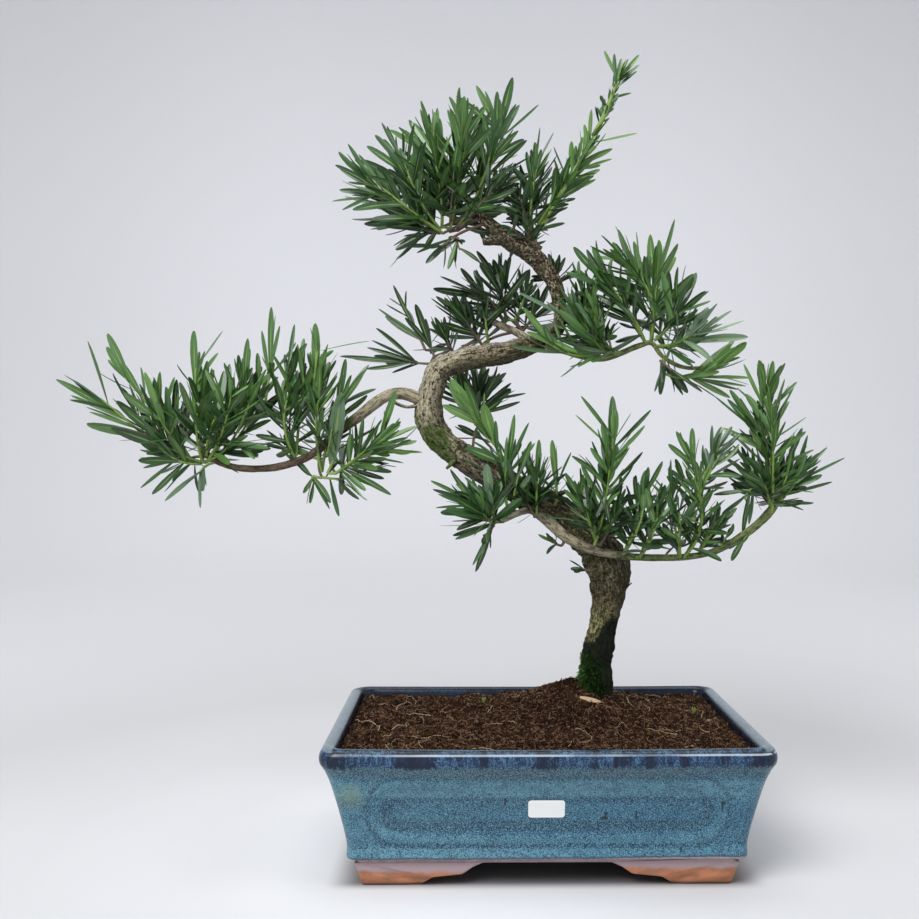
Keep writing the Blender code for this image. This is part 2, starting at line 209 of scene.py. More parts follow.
# Where along the trunk each stub begins, in metres, and its path
STUBS = (
    (0.255, ((-62.0, 17, 284, 5.0), (-66.0, 13, 279.5, 3.4), (-69.0, 11, 276.5, 2.0))),
    (0.480, ((-24.0, 28, 451, 9.0), (-34.5, 23, 449, 7.0), (-41.4, 21, 447.9, 5.6))),
    (0.100, ((60.0, 28, 182, 4.0), (67.0, 22, 187, 1.8), (70.2, 18, 190.1, 0.9))),
    (0.340, ((-88, 19, 325, 3.6), (-97.2, 14.5, 322.5, 2.4), (-104, 13.5, 324, 2.4), (-113, 14, 329, 3.0))),
    (0.420, ((2.0, 36, 444, 7.0), (-6.5, 37, 451, 5.0), (-11.5, 36, 455, 3.0))),
)

# Dark drips in the glaze: across and height of each, half its width and half its height.
DRIPS = (
    (-0.0282, 0.0597, 0.0011, 0.0032),
    (0.0366, 0.0480, 0.0036, 0.0012),
    (0.0376, 0.0500, 0.0009, 0.0028),
    (0.0578, 0.0502, 0.0008, 0.0038),
    (0.1141, 0.0590, 0.0018, 0.0014),
    (0.1138, 0.0568, 0.0008, 0.0030),
    (0.0876, 0.0263, 0.0009, 0.0020),
)

# Moss on the bark: the middle of each mossy place in millimetres, how far it reaches,
# how much higher than wide it is, the blades' count, length and colour.
MOSS = {
    "moss_foot": {
        "middle": (33, 22, 112),
        "reach": 0.0215,
        "stretch": 1.30,
        "count": 1900,
        "length": 0.0042,
        "colour": (0.056, 0.122, 0.028),
    },
    "moss_foot_shade": {
        "middle": (36, 20, 110),
        "reach": 0.0260,
        "stretch": 1.40,
        "count": 3000,
        "length": 0.0036,
        "colour": (0.020, 0.044, 0.012),
    },
    "moss_bend": {
        "middle": (-77, 12, 298),
        "reach": 0.0170,
        "stretch": 0.9,
        "count": 1150,
        "length": 0.0020,
        "colour": (0.085, 0.165, 0.024),
    },
}

# Masses of leaves: tint, depth of the shoots' feet, depth of their ends and half depth.
# Each shoot: its foot, bend and end (x and z), leaf length, count of leaves, habit and
# tint. All in millimetres from the pot's centre.
# The dark tint is painted shade for masses and shoots behind the trunk and deep in the crown.
SPRAYS = {
    "far_left": ("deep", -3, -6, 34, (
        (-245, 281, -272, 292, -296, 319, 40, 13, "fan", "deep"),
        (-258, 285, -278, 297, -299, 309, 52, 4, "long", "middle"),
        (-286, 298, -307, 316, -321, 328, 42, 4, "long", "deep"),
        (-275, 308, -292, 330, -303, 343, 34, 4, "long", "middle"),
    )),
    "far_left_top": ("middle", -4, -6, 36, (
        (-256, 284, -269, 303, -279, 323, 35, 14, "tuft", "middle"),
        (-247, 281, -249, 305, -247, 328, 39, 15, "tuft", "middle"),
        (-243, 283, -227, 308, -216, 341, 33, 26, "tuft", "middle"),
        (-244, 286, -238, 305, -229, 323, 36, 9, "tuft", "deep"),
        (-252, 323, -252, 338, -251, 350, 27, 3, "long", "middle"),
    )),
    "far_left_drop": ("deep", -4, -8, 24, (
        (-249, 280, -260, 281, -271, 286, 28, 11, "tuft", "deep"),
        (-245, 278, -246, 277, -248, 274, 22, 4, "hang", "grey"),
        (-242, 283, -234, 287, -228, 292, 28, 8, "tuft", "deep"),
    )),
    "left_middle": ("deep", 6, 8, 38, (
        (-180, 283, -190, 316, -187, 348, 37, 20, "tuft", "deep"),
        (-180, 286, -178, 316, -175, 344, 38, 9, "long", "middle"),
        (-234, 289, -219, 306, -206, 336, 32, 11, "tuft", "middle"),
        (-203, 326, -200, 348, -198, 366, 29, 3, "long", "middle"),
    )),
    "left_inner": ("middle", 6, 4, 38, (
        (-161, 274, -165, 309, -161, 342, 34, 20, "tuft", "middle"),
        (-161, 275, -155, 305, -146, 327, 30, 8, "long", "deep"),
        (-157, 286, -152, 298, -149, 309, 24, 10, "tuft", "deep"),
        (-168, 327, -166, 349, -164, 363, 26, 3, "long", "middle"),
    )),
    "left_front": ("young", -2, -6, 32, (
        (-150, 273, -134, 284, -118, 296, 32, 20, "tuft", "middle"),
        (-156, 273, -150, 286, -146, 297, 31, 5, "long", "grey"),
        (-136, 284, -117, 289, -103, 294, 27, 6, "long", "young"),
    )),
    "left_drop": ("deep", 6, 6, 22, (
        (-161, 270, -152, 269, -142, 269, 32, 6, "hang", "deep"),
        (-179, 283, -185, 289, -190, 293, 22, 6, "tuft", "deep"),
        (-168, 271, -168, 268, -167, 266, 23, 4, "hang", "deep"),
    )),
    "right_inner": ("middle", 20, 20, 34, (
        (63, 365, 48, 364, 36, 375, 38, 12, "fan", "middle"),
        (47, 363, 27, 362, 9, 370, 34, 8, "fan", "middle"),
        (60, 366, 42, 372, 24, 390, 35, 9, "fan", "grey"),
    )),
    "right_middle": ("deep", 22, 24, 28, (
        (51, 362, 44, 381, 38, 410, 18, 30, "plume", "young"),
        (56, 365, 41, 387, 33, 418, 28, 14, "tuft", "middle"),
        (47, 365, 36, 381, 27, 397, 28, 10, "tuft", "deep"),
    )),
    "right_shoot": ("middle", 14, 16, 38, (
        (84, 371, 82, 407, 60, 435, 34, 20, "tuft", "middle"),
        (85, 373, 87, 396, 89, 420, 35, 12, "long", "middle"),
        (80, 371, 66, 394, 46, 421, 34, 16, "tuft", "deep"),
    )),
    "right_fan": ("deep", 8, 2, 36, (
        (86, 372, 97, 383, 105, 400, 32, 18, "tuft", "deep"),
        (88, 368, 103, 368, 119, 378, 29, 15, "tuft", "grey"),
        (92, 348, 112, 344, 135, 354, 35, 12, "long", "young"),
        (90, 357, 94, 353, 98, 349, 23, 6, "hang", "dark"),
    )),
    "back": ("dark", 66, 80, 36, (
        (-22, 394, -26, 411, -28, 428, 31, 20, "tuft", "dark"),
        (-25, 394, -34, 407, -42, 416, 28, 14, "tuft", "dark"),
        (-16, 394, -10, 407, -6, 419, 26, 14, "tuft", "deep"),
        (-10, 385, -3, 395, 4, 408, 28, 14, "tuft", "dark"),
    )),
    "back_left": ("dark", 62, 70, 28, (
        (-42, 374, -52, 388, -59, 400, 29, 20, "tuft", "dark"),
        (-37, 376, -39, 388, -40, 397, 26, 12, "tuft", "deep"),
        (-64, 368, -69, 374, -73, 382, 26, 9, "tuft", "dark"),
        (-80, 365, -84, 374, -88, 382, 36, 6, "long", "dark"),
        (-87, 370, -98, 393, -106, 406, 23, 4, "long", "dark"),
        (-83, 359, -95, 360, -104, 361, 36, 7, "long", "dark"),
    )),
    "back_sprig": ("dark", 48, 58, 10, (
        (16, 418, 15, 426, 15, 433, 20, 13, "tuft", "dark"),
    )),
    "bend_front": ("young", 12, 8, 12, (
        (-25, 282, -37, 300, -47, 317, 33, 9, "long", "young"),
        (-25, 279, -29, 284, -32, 289, 32, 4, "long", "deep"),
    )),
    "bend_back": ("dark", 44, 52, 18, (
        (-45, 310, -45, 326, -44, 338, 30, 20, "tuft", "dark"),
        (-47, 310, -56, 328, -63, 346, 25, 16, "tuft", "deep"),
        (-36, 297, -42, 299, -48, 301, 24, 4, "long", "dark"),
    )),
    "low_centre": ("grey", 0, -6, 28, (
        (-34, 234, -40, 242, -48, 251, 33, 18, "tuft", "deep"),
        (-33, 237, -35, 246, -36, 252, 27, 10, "tuft", "grey"),
    )),
    "low_drop": ("deep", -4, -10, 14, (
        (-35, 234, -38, 230, -42, 228, 19, 2, "hang", "dark"),
    )),
    "low_left_shoot": ("deep", 6, 2, 16, (
        (-24, 249, -26, 264, -24, 278, 33, 11, "long", "deep"),
        (-20, 247, -18, 261, -15, 274, 30, 9, "long", "grey"),
    )),
    "low_middle_shoot": ("deep", 10, 6, 16, (
        (-2, 242, -2, 257, -2, 272, 24, 16, "tuft", "deep"),
        (13, 252, 13, 259, 13, 265, 32, 5, "long", "middle"),
        (-3, 240, -8, 249, -13, 255, 22, 10, "tuft", "dark"),
        (17, 219, 13, 220, 10, 222, 14, 5, "long", "dark"),
        (38, 200, 35, 201, 32, 202, 13, 4, "long", "dark"),
    )),
    "low_right_first": ("middle", -2, -8, 32, (
        (40, 220, 48, 254, 53, 299, 34, 28, "tuft", "middle"),
        (41, 224, 35, 239, 29, 256, 28, 14, "tuft", "deep"),
        (44, 220, 51, 235, 56, 250, 25, 13, "tuft", "dark"),
    )),
    "low_right_second": ("deep", -5, -10, 32, (
        (61, 214, 70, 235, 74, 255, 25, 18, "tuft", "deep"),
        (73, 212, 80, 228, 85, 249, 28, 16, "tuft", "deep"),
    )),
    "low_right_third": ("grey", -7, -12, 34, (
        (105, 212, 118, 245, 108, 287, 23, 28, "tuft", "middle"),
        (114, 250, 120, 272, 130, 293, 23, 16, "tuft", "grey"),
        (102, 212, 98, 235, 95, 261, 23, 16, "tuft", "deep"),
    )),
    "low_right_fourth": ("deep", -8, -10, 22, (
        (116, 216, 122, 228, 128, 238, 20, 12, "tuft", "deep"),
        (131, 220, 134, 224, 136, 228, 13, 5, "tuft", "deep"),
    )),
    "low_right_tall": ("middle", -12, -14, 34, (
        (168, 245, 166, 283, 162, 339, 32, 42, "tuft", "middle"),
        (167, 250, 161, 262, 152, 276, 27, 16, "tuft", "deep"),
        (165, 294, 159, 301, 153, 308, 32, 6, "long", "deep"),
        (157, 264, 151, 260, 148, 254, 24, 5, "hang", "deep"),
    )),
    "low_right_end": ("deep", -10, -12, 30, (
        (170, 247, 179, 262, 189, 277, 25, 18, "tuft", "deep"),
        (170, 254, 174, 265, 178, 278, 23, 12, "tuft", "deep"),
        (154, 230, 150, 227, 147, 224, 18, 3, "hang", "deep"),
    )),
    "apex_left": ("deep", 26, 22, 38, (
        (-72, 455, -98, 471, -130, 495, 38, 24, "tuft", "deep"),
        (-74, 458, -91, 480, -104, 510, 39, 16, "tuft", "deep"),
        (-74, 455, -82, 456, -89, 458, 26, 8, "tuft", "dark"),
    )),
    "apex_crest": ("middle", 28, 30, 44, (
        (-73, 460, -74, 492, -81, 525, 40, 24, "tuft", "middle"),
        (-67, 458, -59, 496, -55, 537, 40, 26, "tuft", "middle"),
    )),
    "apex_middle": ("deep", 30, 30, 40, (
        (-62, 460, -41, 493, -29, 535, 38, 26, "tuft", "deep"),
        (-61, 458, -40, 478, -25, 495, 26, 20, "tuft", "dark"),
        (-67, 457, -65, 481, -63, 503, 31, 20, "tuft", "dark"),
    )),
    "apex_drop": ("dark", 22, 18, 20, (
        (-65, 451, -70, 446, -74, 444, 21, 3, "hang", "dark"),
        (-61, 451, -61, 446, -59, 441, 21, 3, "hang", "dark"),
    )),
    "apex_right": ("deep", 38, 38, 34, (
        (-5, 456, -5, 483, -1, 509, 28, 22, "tuft", "deep"),
        (-5, 457, -10, 472, -16, 485, 23, 16, "tuft", "dark"),
        (-3, 457, 5, 470, 12, 478, 20, 12, "tuft", "deep"),
        (-6, 447, -7, 453, -8, 461, 17, 16, "tuft", "dark"),
        (-12, 450, -17, 454, -22, 458, 12, 9, "tuft", "dark"),
        (3, 464, 12, 481, 22, 496, 33, 10, "long", "deep"),
    )),
    "leader": ("young", 38, 36, 14, (
        (3, 462, 25, 499, 44, 532, 25, 20, "leader", "young"),
        (44, 533, 53, 551, 61, 572, 12, 12, "leader", "middle"),
        (60, 572, 62, 575, 64, 578, 16, 9, "long", "young"),
    )),
}
TINTS = ("deep", "middle", "young", "grey", "dark")
# How the leaves of a shoot stand: tilt from the stem at its foot and at its tip in
# degrees, lift (droop where negative) and the share of the stem that is bare
# The longest leaves, which reach a mass's outline: tip x, tip z, width and length, in millimetres
OUTER_LEAVES = {
    "far_left": ((-352, 343, 5.8, 58), (-341, 329, 4.8, 44), (-341, 340, 3.4, 41),
        (-317, 365, 5.8, 37), (-304, 354, 4.8, 31), (-327, 318, 3.4, 37)),
    "far_left_top": ((-253, 377, 5.8, 41), (-248, 352, 4.8, 23), (-232, 377, 2.3, 26),
        (-227, 354, 4.8, 31), (-213, 371, 4.8, 32), (-237, 362, 3.4, 29), (-277, 347, 4.8, 29),
        (-266, 343, 3.4, 28), (-288, 344, 3.4, 25)),
    "far_left_drop": ((-291, 262, 3.4, 32), (-283, 257, 4.7, 32), (-275, 253, 4.7, 34),
        (-246, 260, 8.0, 22), (-248, 248, 3.4, 16), (-293, 284, 2.3, 29), (-289, 289, 2.3, 25),
        (-214, 297, 3.4, 32), (-222, 291, 2.3, 25)),
    "left_middle": ((-198, 396, 4.8, 48), (-192, 382, 3.4, 37), (-183, 384, 3.4, 36),
        (-178, 368, 3.4, 30), (-210, 363, 4.8, 33), (-206, 379, 3.4, 34)),
    "left_inner": ((-162, 384, 7.4, 47), (-159, 369, 3.4, 33), (-146, 358, 4.8, 34),
        (-127, 354, 5.9, 40), (-129, 349, 4.8, 36), (-125, 372, 2.4, 37), (-170, 363, 3.4, 33)),
    "left_front": ((-105, 333, 5.8, 37), (-90, 308, 4.8, 34), (-87, 291, 3.4, 35),
        (-100, 281, 2.3, 31), (-113, 277, 2.3, 31), (-108, 259, 4.8, 41), (-117, 261, 2.3, 35),
        (-128, 254, 2.3, 31), (-145, 332, 11.7, 53), (-97, 300, 3.4, 32)),
    "left_drop": ((-154, 251, 5.9, 31), (-171, 270, 4.8, 25), (-188, 289, 3.4, 25),
        (-161, 259, 3.4, 21)),
    "right_inner": ((29, 353, 3.5, 23), (39, 356, 3.5, 20), (-16, 407, 3.5, 36),
        (-12, 397, 4.9, 41), (-9, 379, 6.0, 48), (-21, 366, 3.5, 41), (-6, 387, 4.9, 38),
        (5, 401, 3.5, 33)),
    "right_middle": ((18, 416, 3.5, 27), (30, 426, 3.5, 30), (38, 428, 3.5, 30)),
    "right_shoot": ((33, 440, 6.0, 54), (36, 430, 9.4, 57), (42, 444, 6.0, 41), (60, 457, 4.9, 39),
        (69, 446, 6.0, 38), (82, 454, 6.8, 42), (88, 444, 7.5, 53), (67, 445, 6.8, 39),
        (101, 462, 3.5, 48), (97, 421, 7.5, 36), (118, 412, 6.0, 36), (51, 441, 3.5, 33)),
    "right_fan": ((127, 396, 4.8, 31), (136, 385, 3.4, 34), (142, 394, 3.4, 34),
        (150, 384, 2.4, 40), (155, 375, 8.1, 47), (151, 366, 7.4, 43), (156, 345, 3.4, 44),
        (156, 338, 2.4, 44), (142, 329, 4.8, 34), (90, 340, 3.4, 22), (108, 331, 3.4, 31),
        (119, 332, 4.8, 31), (132, 348, 4.8, 32)),
    "back": ((-18, 448, 5.3, 32), (-25, 443, 5.3, 32), (-11, 438, 5.3, 31), (-47, 452, 5.3, 34),
        (-60, 438, 5.3, 31), (-82, 420, 6.5, 31), (-67, 424, 3.7, 28), (-38, 443, 3.7, 28),
        (-76, 430, 3.7, 28)),
    "back_left": ((-79, 391, 5.2, 25), (-114, 421, 3.7, 43), (-125, 403, 2.5, 43),
        (-96, 406, 6.4, 37), (-88, 396, 3.7, 27), (-155, 366, 3.7, 49), (-134, 374, 3.7, 43),
        (-130, 378, 2.5, 43), (-146, 361, 2.5, 45)),
    "bend_front": ((-69, 338, 9.4, 47), (-66, 343, 8.4, 41), (-42, 324, 9.2, 33),
        (-54, 293, 7.8, 31), (-72, 324, 6.7, 33)),
    "bend_back": ((-8, 334, 2.5, 34), (-12, 327, 3.6, 34), (-20, 344, 3.6, 34),
        (-24, 352, 5.1, 30)),
    "low_centre": ((-79, 270, 3.4, 32), (-78, 263, 3.4, 32), (-77, 249, 2.3, 31),
        (-68, 245, 4.8, 32), (-62, 225, 3.4, 34), (-66, 276, 4.8, 28), (-40, 280, 7.3, 31)),
    "low_drop": ((-47, 201, 4.7, 41), (-48, 206, 3.3, 36)),
    "low_left_shoot": ((-16, 316, 4.8, 46), (-9, 311, 3.4, 43), (-24, 300, 3.4, 32),
        (-12, 292, 3.4, 30)),
    "low_middle_shoot": ((0, 298, 4.8, 34), (11, 298, 5.9, 39), (5, 281, 3.4, 27),
        (19, 275, 3.4, 30)),
    "low_right_first": ((54, 330, 7.3, 44), (30, 330, 3.4, 41), (26, 316, 2.3, 38),
        (82, 319, 3.4, 41), (78, 306, 3.4, 34), (19, 274, 4.7, 31), (25, 268, 3.4, 28),
        (68, 297, 3.4, 29)),
    "low_right_second": ((78, 278, 5.8, 31), (88, 282, 4.7, 31), (68, 270, 4.7, 23),
        (99, 268, 3.3, 25)),
    "low_right_third": ((109, 306, 4.7, 26), (99, 304, 4.7, 26), (91, 294, 4.7, 28),
        (90, 283, 2.3, 30), (132, 308, 5.8, 30), (122, 308, 3.3, 25), (146, 302, 3.3, 28),
        (145, 283, 2.3, 30), (140, 293, 3.3, 29)),
    "low_right_fourth": ((142, 249, 4.7, 31), (133, 238, 3.3, 31), (128, 224, 3.3, 22)),
    "low_right_tall": ((168, 355, 5.8, 33), (175, 352, 4.7, 30), (156, 351, 4.7, 33),
        (146, 352, 3.3, 36), (187, 338, 3.3, 33), (138, 331, 3.3, 33), (134, 327, 4.7, 36),
        (127, 329, 2.3, 39), (151, 307, 4.7, 30), (182, 326, 4.7, 29), (146, 229, 4.7, 33),
        (152, 236, 3.3, 27)),
    "low_right_end": ((192, 307, 4.7, 33), (194, 300, 3.3, 33), (209, 292, 3.3, 39),
        (221, 284, 2.3, 45), (210, 268, 3.3, 36), (192, 252, 4.7, 30), (202, 278, 3.3, 33),
        (138, 210, 4.7, 19)),
    "apex_left": ((-129, 522, 6.1, 38), (-117, 524, 6.1, 36), (-152, 506, 4.9, 41),
        (-144, 511, 4.9, 39), (-155, 478, 3.5, 42), (-151, 491, 4.9, 38), (-147, 469, 3.5, 33),
        (-109, 459, 3.5, 30), (-102, 453, 3.5, 30), (-141, 487, 4.9, 33)),
    "apex_crest": ((-112, 532, 5.0, 38), (-106, 535, 3.5, 34), (-99, 541, 6.1, 40),
        (-90, 548, 5.0, 38), (-77, 554, 5.0, 38), (-84, 544, 5.0, 34), (-69, 550, 3.5, 34)),
    "apex_middle": ((-62, 560, 5.0, 37), (-48, 568, 6.1, 40), (-32, 562, 5.0, 37),
        (-21, 575, 7.6, 44), (-13, 556, 5.0, 35), (2, 550, 2.4, 37), (-10, 528, 6.1, 26),
        (-41, 564, 3.5, 34), (-55, 555, 5.0, 34)),
    "apex_drop": ((-61, 448, 4.9, 26), (-68, 450, 4.9, 27), (-58, 444, 3.5, 23),
        (-92, 439, 3.5, 30), (-85, 431, 4.9, 30), (-66, 425, 4.9, 26), (-79, 436, 3.5, 27),
        (-100, 445, 3.5, 26)),
    "apex_right": ((2, 540, 2.5, 39), (14, 537, 2.5, 34), (-4, 521, 5.0, 31), (22, 467, 3.5, 26),
        (-19, 498, 3.5, 26), (9, 522, 3.5, 31)),
    "leader": ((51, 598, 3.5, 25), (59, 596, 3.5, 25), (67, 592, 5.0, 23), (79, 595, 3.5, 26),
        (79, 587, 3.5, 25), (77, 582, 3.5, 22), (73, 567, 2.5, 18), (57, 523, 5.0, 31),
        (58, 515, 3.5, 31), (77, 533, 2.5, 38), (48, 508, 5.0, 28), (45, 498, 3.5, 28)),
}
HABITS = {
    "tuft": (66.0, 13.0, 0.10, 0.10),
    "long": (42.0, 10.0, 0.08, 0.25),
    "hang": (66.0, 34.0, -0.80, 0.0),
    "plume": (46.0, 16.0, 0.10, 0.18),
    "leader": (50.0, 12.0, 0.10, 0.30),
    "fan": (46.0, 14.0, 0.70, 0.16),
}
# The backdrop's brightness at shares of its length from the middle of the floor: painted light and shade, bright
# near the pot, darkest about half a metre out and bright again up the wall.
COVE_LENGTH = 5.4
COVE_TONES = (
    (0.000, 0.70),
    (0.020, 0.67),
    (0.035, 0.57),
    (0.055, 0.50),
    (0.095, 0.46),
    (0.170, 0.55),
    (0.260, 0.65),
    (0.390, 0.81),
    (0.740, 0.83),
    (1.000, 0.77),
)
LIGHTER = {"dark": "deep", "deep": "middle", "middle": "young", "grey": "middle", "young": "young"}
DARKER = {"dark": "dark", "deep": "dark", "middle": "deep", "grey": "deep", "young": "middle"}
GOLDEN_TURN = math.radians(137.5)
LEAF_STATIONS = (0.0, 0.08, 0.22, 0.42, 0.62, 0.79, 0.91, 0.975, 1.0)
MOSS_STATIONS = (0.0, 0.55, 1.0)
RIB_STATIONS = (0.0, 0.25, 0.55, 0.88)
RIB_SHARE = 0.17
RIB_LEAST = 0.0036


def at(x, y, z):
    """A place given in millimetres from the pot's centre."""
    return POT_MIDDLE + Vector((x, y, z)) * MM


def length_setting(label, text, value):
    """A length that a user may change."""
    return bpy.props.FloatProperty(
        name=label, description=text, default=value, unit="LENGTH", subtype="DISTANCE", precision=4
    )


def colour_setting(label, text, value):
    """A colour that a user may change."""
    return bpy.props.FloatVectorProperty(
        name=label, description=text, default=value, size=3, min=0.0, max=1.0, subtype="COLOR"
    )


class PotSettings(bpy.types.PropertyGroup):
    """Sizes and colours of the pot."""

    panel_depth: length_setting("Panel depth", "How deep the moulded panel lies", 0.0016)
    foot_round: length_setting("Foot rounding", "Width of the feet's rounded edges", 0.0015)
    label_width: length_setting("Label width", "Width of the blank label", 0.0240)
    label_height: length_setting("Label height", "Height of the blank label", 0.0120)
    blue: colour_setting("Blue", "Main colour of the glaze", (0.043, 0.114, 0.180))
    teal: colour_setting("Teal", "Where the glaze runs thin", (0.125, 0.285, 0.355))
    navy: colour_setting("Navy", "Where the glaze lies thick", (0.006, 0.014, 0.036))
    # This colour is painted shade under the overhanging lip.
    under_lip_shade: colour_setting("Slate", "Dull glaze under the lip", (0.060, 0.080, 0.098))
    # Pale is partly glaze breaking over the lip's crest and partly a painted highlight there.
    pale: colour_setting("Pale", "Where the glaze breaks over an edge", (0.480, 0.530, 0.560))
    mauve: colour_setting("Mauve", "Thin glaze at its foot", (0.330, 0.250, 0.265))
    clay: colour_setting("Clay", "Bare fired clay", (0.420, 0.165, 0.078))
    label: colour_setting("Label", "The blank label", (0.700, 0.705, 0.700))


class SoilSettings(bpy.types.PropertyGroup):
    """Sizes and colours of the soil."""

    crumbs: bpy.props.IntProperty(name="Crumbs", description="Count of crumbs", default=2300, min=0)
    fibres: bpy.props.IntProperty(name="Fibres", description="Count of fibres", default=15000, min=0)
    roots: bpy.props.IntProperty(name="Roots", description="Count of fine roots", default=64, min=0)
    dark: colour_setting("Dark", "Damp hollows", (0.005, 0.0022, 0.0012))
    brown: colour_setting("Brown", "Fibrous soil", (0.047, 0.022, 0.010))
    tan: colour_setting("Tan", "Dry fibres", (0.200, 0.122, 0.075))
    straw: colour_setting("Straw", "Fine dry roots", (0.540, 0.430, 0.270))


class BarkSettings(bpy.types.PropertyGroup):
    """Relief and colours of the trunk, boughs and twigs."""

    relief: bpy.props.FloatProperty(
        name="Relief", description="Depth of the bark as a share of radius", default=0.20, min=0.0
    )
    pale: colour_setting("Pale bark", "Flakes on the upper trunk", (0.300, 0.265, 0.180))
    olive: colour_setting("Olive bark", "Flakes on the lower trunk", (0.185, 0.178, 0.078))
    lichen: colour_setting("Lichen", "Palest flecks", (0.420, 0.385, 0.285))
    # The worn colour is laid on as a painted highlight where the bark faces up and left.
    worn: colour_setting("Worn bark", "Smooth grey places on top", (0.430, 0.410, 0.350))
    crack: colour_setting("Cracks", "Furrows", (0.018, 0.016, 0.009))
    moss: colour_setting("Moss", "Moss at the foot", (0.020, 0.066, 0.008))
    old_twig: colour_setting("Old twig", "Brown twigs", (0.120, 0.085, 0.058))
    green_twig: colour_setting("Green twig", "Young stems", (0.170, 0.270, 0.050))


class LeafSettings(bpy.types.PropertyGroup):
    """Shape and tints of the leaves."""

    seed: bpy.props.IntProperty(name="Seed", description="Start of the random draws", default=7)
    width: length_setting("Width", "Breadth of a full-grown leaf", 0.0057)
    fold: bpy.props.FloatProperty(
        name="Fold", description="How far a leaf folds up along its midrib", default=0.34
    )
    deep: colour_setting("Deep", "Full-grown leaves", (0.030, 0.084, 0.020))
    middle: colour_setting("Middle", "Leaves in the light", (0.058, 0.135, 0.031))
    young: colour_setting("Young", "Fresh leaves", (0.080, 0.172, 0.036))
    grey: colour_setting("Grey", "Leaves with a grey bloom", (0.096, 0.158, 0.090))
    dark: colour_setting("Dark", "Shaded leaves", (0.018, 0.045, 0.014))
    rib: colour_setting("Midrib", "Pale line along the middle of a leaf", (0.150, 0.250, 0.070))


class StageSettings(bpy.types.PropertyGroup):
    """Floor, lights and camera."""

    floor: colour_setting("Floor", "Pale floor", (0.800, 0.810, 0.825))
    wall: colour_setting("Wall", "Pale wall", (0.700, 0.715, 0.745))
    key: bpy.props.FloatProperty(name="Key", description="Power of the main light", default=66.0)
    fill: bpy.props.FloatProperty(name="Fill", description="Power of the side lights", default=18.0)


class Value:
    """A shader socket that takes part in sums."""

    def __init__(self, paint, socket):
        self.paint = paint
        self.socket = socket

    def __add__(self, other):
        return self.paint.maths("ADD", self, other)

    __radd__ = __add__

    def __sub__(self, other):
        return self.paint.maths("SUBTRACT", self, other)

    def __rsub__(self, other):
        return self.paint.maths("SUBTRACT", other, self)

    def __mul__(self, other):
        return self.paint.maths("MULTIPLY", self, other)

    __rmul__ = __mul__


class Paint:
    """A material under construction, with one method that makes any node."""

    def __init__(self, name, roughness=0.5, colour=(0.5, 0.5, 0.5)):
        self.material = bpy.data.materials.new(name)
        self.material.use_nodes = True
        self.tree = self.material.node_tree
        self.shader = self.tree.nodes["Principled BSDF"]
        self.set("Roughness", roughness)
        self.set("Base Color", (*colour, 1.0))

    def set(self, name, value):
        socket = self.shader.inputs[name]
        if isinstance(value, Value):
            self.tree.links.new(value.socket, socket)
        else:
            socket.default_value = value

    def node(self, kind, settings=None, inputs=None, output=0):
        node = self.tree.nodes.new(kind)
        for key, value in (settings or {}).items():
            if key == "stops":
                self.fill(node.color_ramp.elements, value)
            else:
                setattr(node, key, value)
        for key, value in (inputs or {}).items():
            if isinstance(value, Value):
                self.tree.links.new(value.socket, node.inputs[key])
            else:
                node.inputs[key].default_value = value
        return Value(self, node.outputs[output])

    def fill(self, elements, stops):
        while len(elements) < len(stops):
            elements.new(1.0)
        for element, (position, colour) in zip(elements, stops):
            element.position = position
            element.color = (*colour, 1.0)

    def maths(self, operation, first, second=0.0):
        return self.node("ShaderNodeMath", {"operation": operation}, {0: first, 1: second})

    def ramp(self, value, stops):
        return self.node("ShaderNodeValToRGB", {"stops": stops}, {0: value})

    def place(self):
        return self.node("ShaderNodeTexCoord", output="Object")

    def attribute(self, name):
        return self.node("ShaderNodeAttribute", {"attribute_name": name}, output="Vector")

    def part(self, vector, axis):
        return self.node("ShaderNodeSeparateXYZ", None, {0: vector}, output=axis)

    def stretch(self, vector, scale):
        return self.node("ShaderNodeVectorMath", {"operation": "MULTIPLY"}, {0: vector, 1: scale})

    def noise(self, vector, scale, detail=3.0, roughness=0.55, distortion=0.0):
        sizes = {"Scale": scale, "Detail": detail, "Roughness": roughness, "Distortion": distortion}
        return self.node("ShaderNodeTexNoise", None, {"Vector": vector, **sizes})

    def cells(self, vector, scale):
        return self.node("ShaderNodeTexVoronoi", None, {"Vector": vector, "Scale": scale})

    def step(self, value, low, high):
        """From 0 at low to 1 at high, smoothly; low may be the larger."""
        rising = low < high
        ends = (low, high, 0.0, 1.0) if rising else (high, low, 1.0, 0.0)
        names = ("From Min", "From Max", "To Min", "To Max")
        smooth = {"interpolation_type": "SMOOTHSTEP"}
        return self.node("ShaderNodeMapRange", smooth, {"Value": value, **dict(zip(names, ends))})

    def mix(self, share, first, second):
        """Colours: all of the first where share is 0, all of the second where it is 1."""
        inputs = {0: share, 6: self.colour(first), 7: self.colour(second)}
        return self.node("ShaderNodeMix", {"data_type": "RGBA"}, inputs, output=2)

    def colour(self, value):
        return value if isinstance(value, Value) else (*value, 1.0)

    def bump(self, height, distance, strength=1.0):
        sizes = {"Height": height, "Distance": distance, "Strength": strength}
        self.set("Normal", self.node("ShaderNodeBump", None, sizes))


def piece(name, mesh, material, slot, *nodes):
    """Link a finished mesh, ride it on the one body and hide the nodes that it stands for."""
    obj = bpy.data.objects.new(name, mesh)
    bpy.context.scene.collection.objects.link(obj)
    mesh.materials.clear()
    mesh.materials.append(material)
    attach(obj, "root")
    if nodes:
        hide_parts(*nodes)
    return obj


def mesh_of(bm, name, smooth_angle=None):
    """Close a bmesh into a mesh with its faces outwards."""
    bm.normal_update()
    bmesh.ops.recalc_face_normals(bm, faces=bm.faces)
    mesh = bpy.data.meshes.new(name)
    bm.to_mesh(mesh)
    bm.free()
    mesh.shade_smooth()
    if smooth_angle is not None:
        mesh.set_sharp_from_angle(angle=math.radians(smooth_angle))
    return mesh


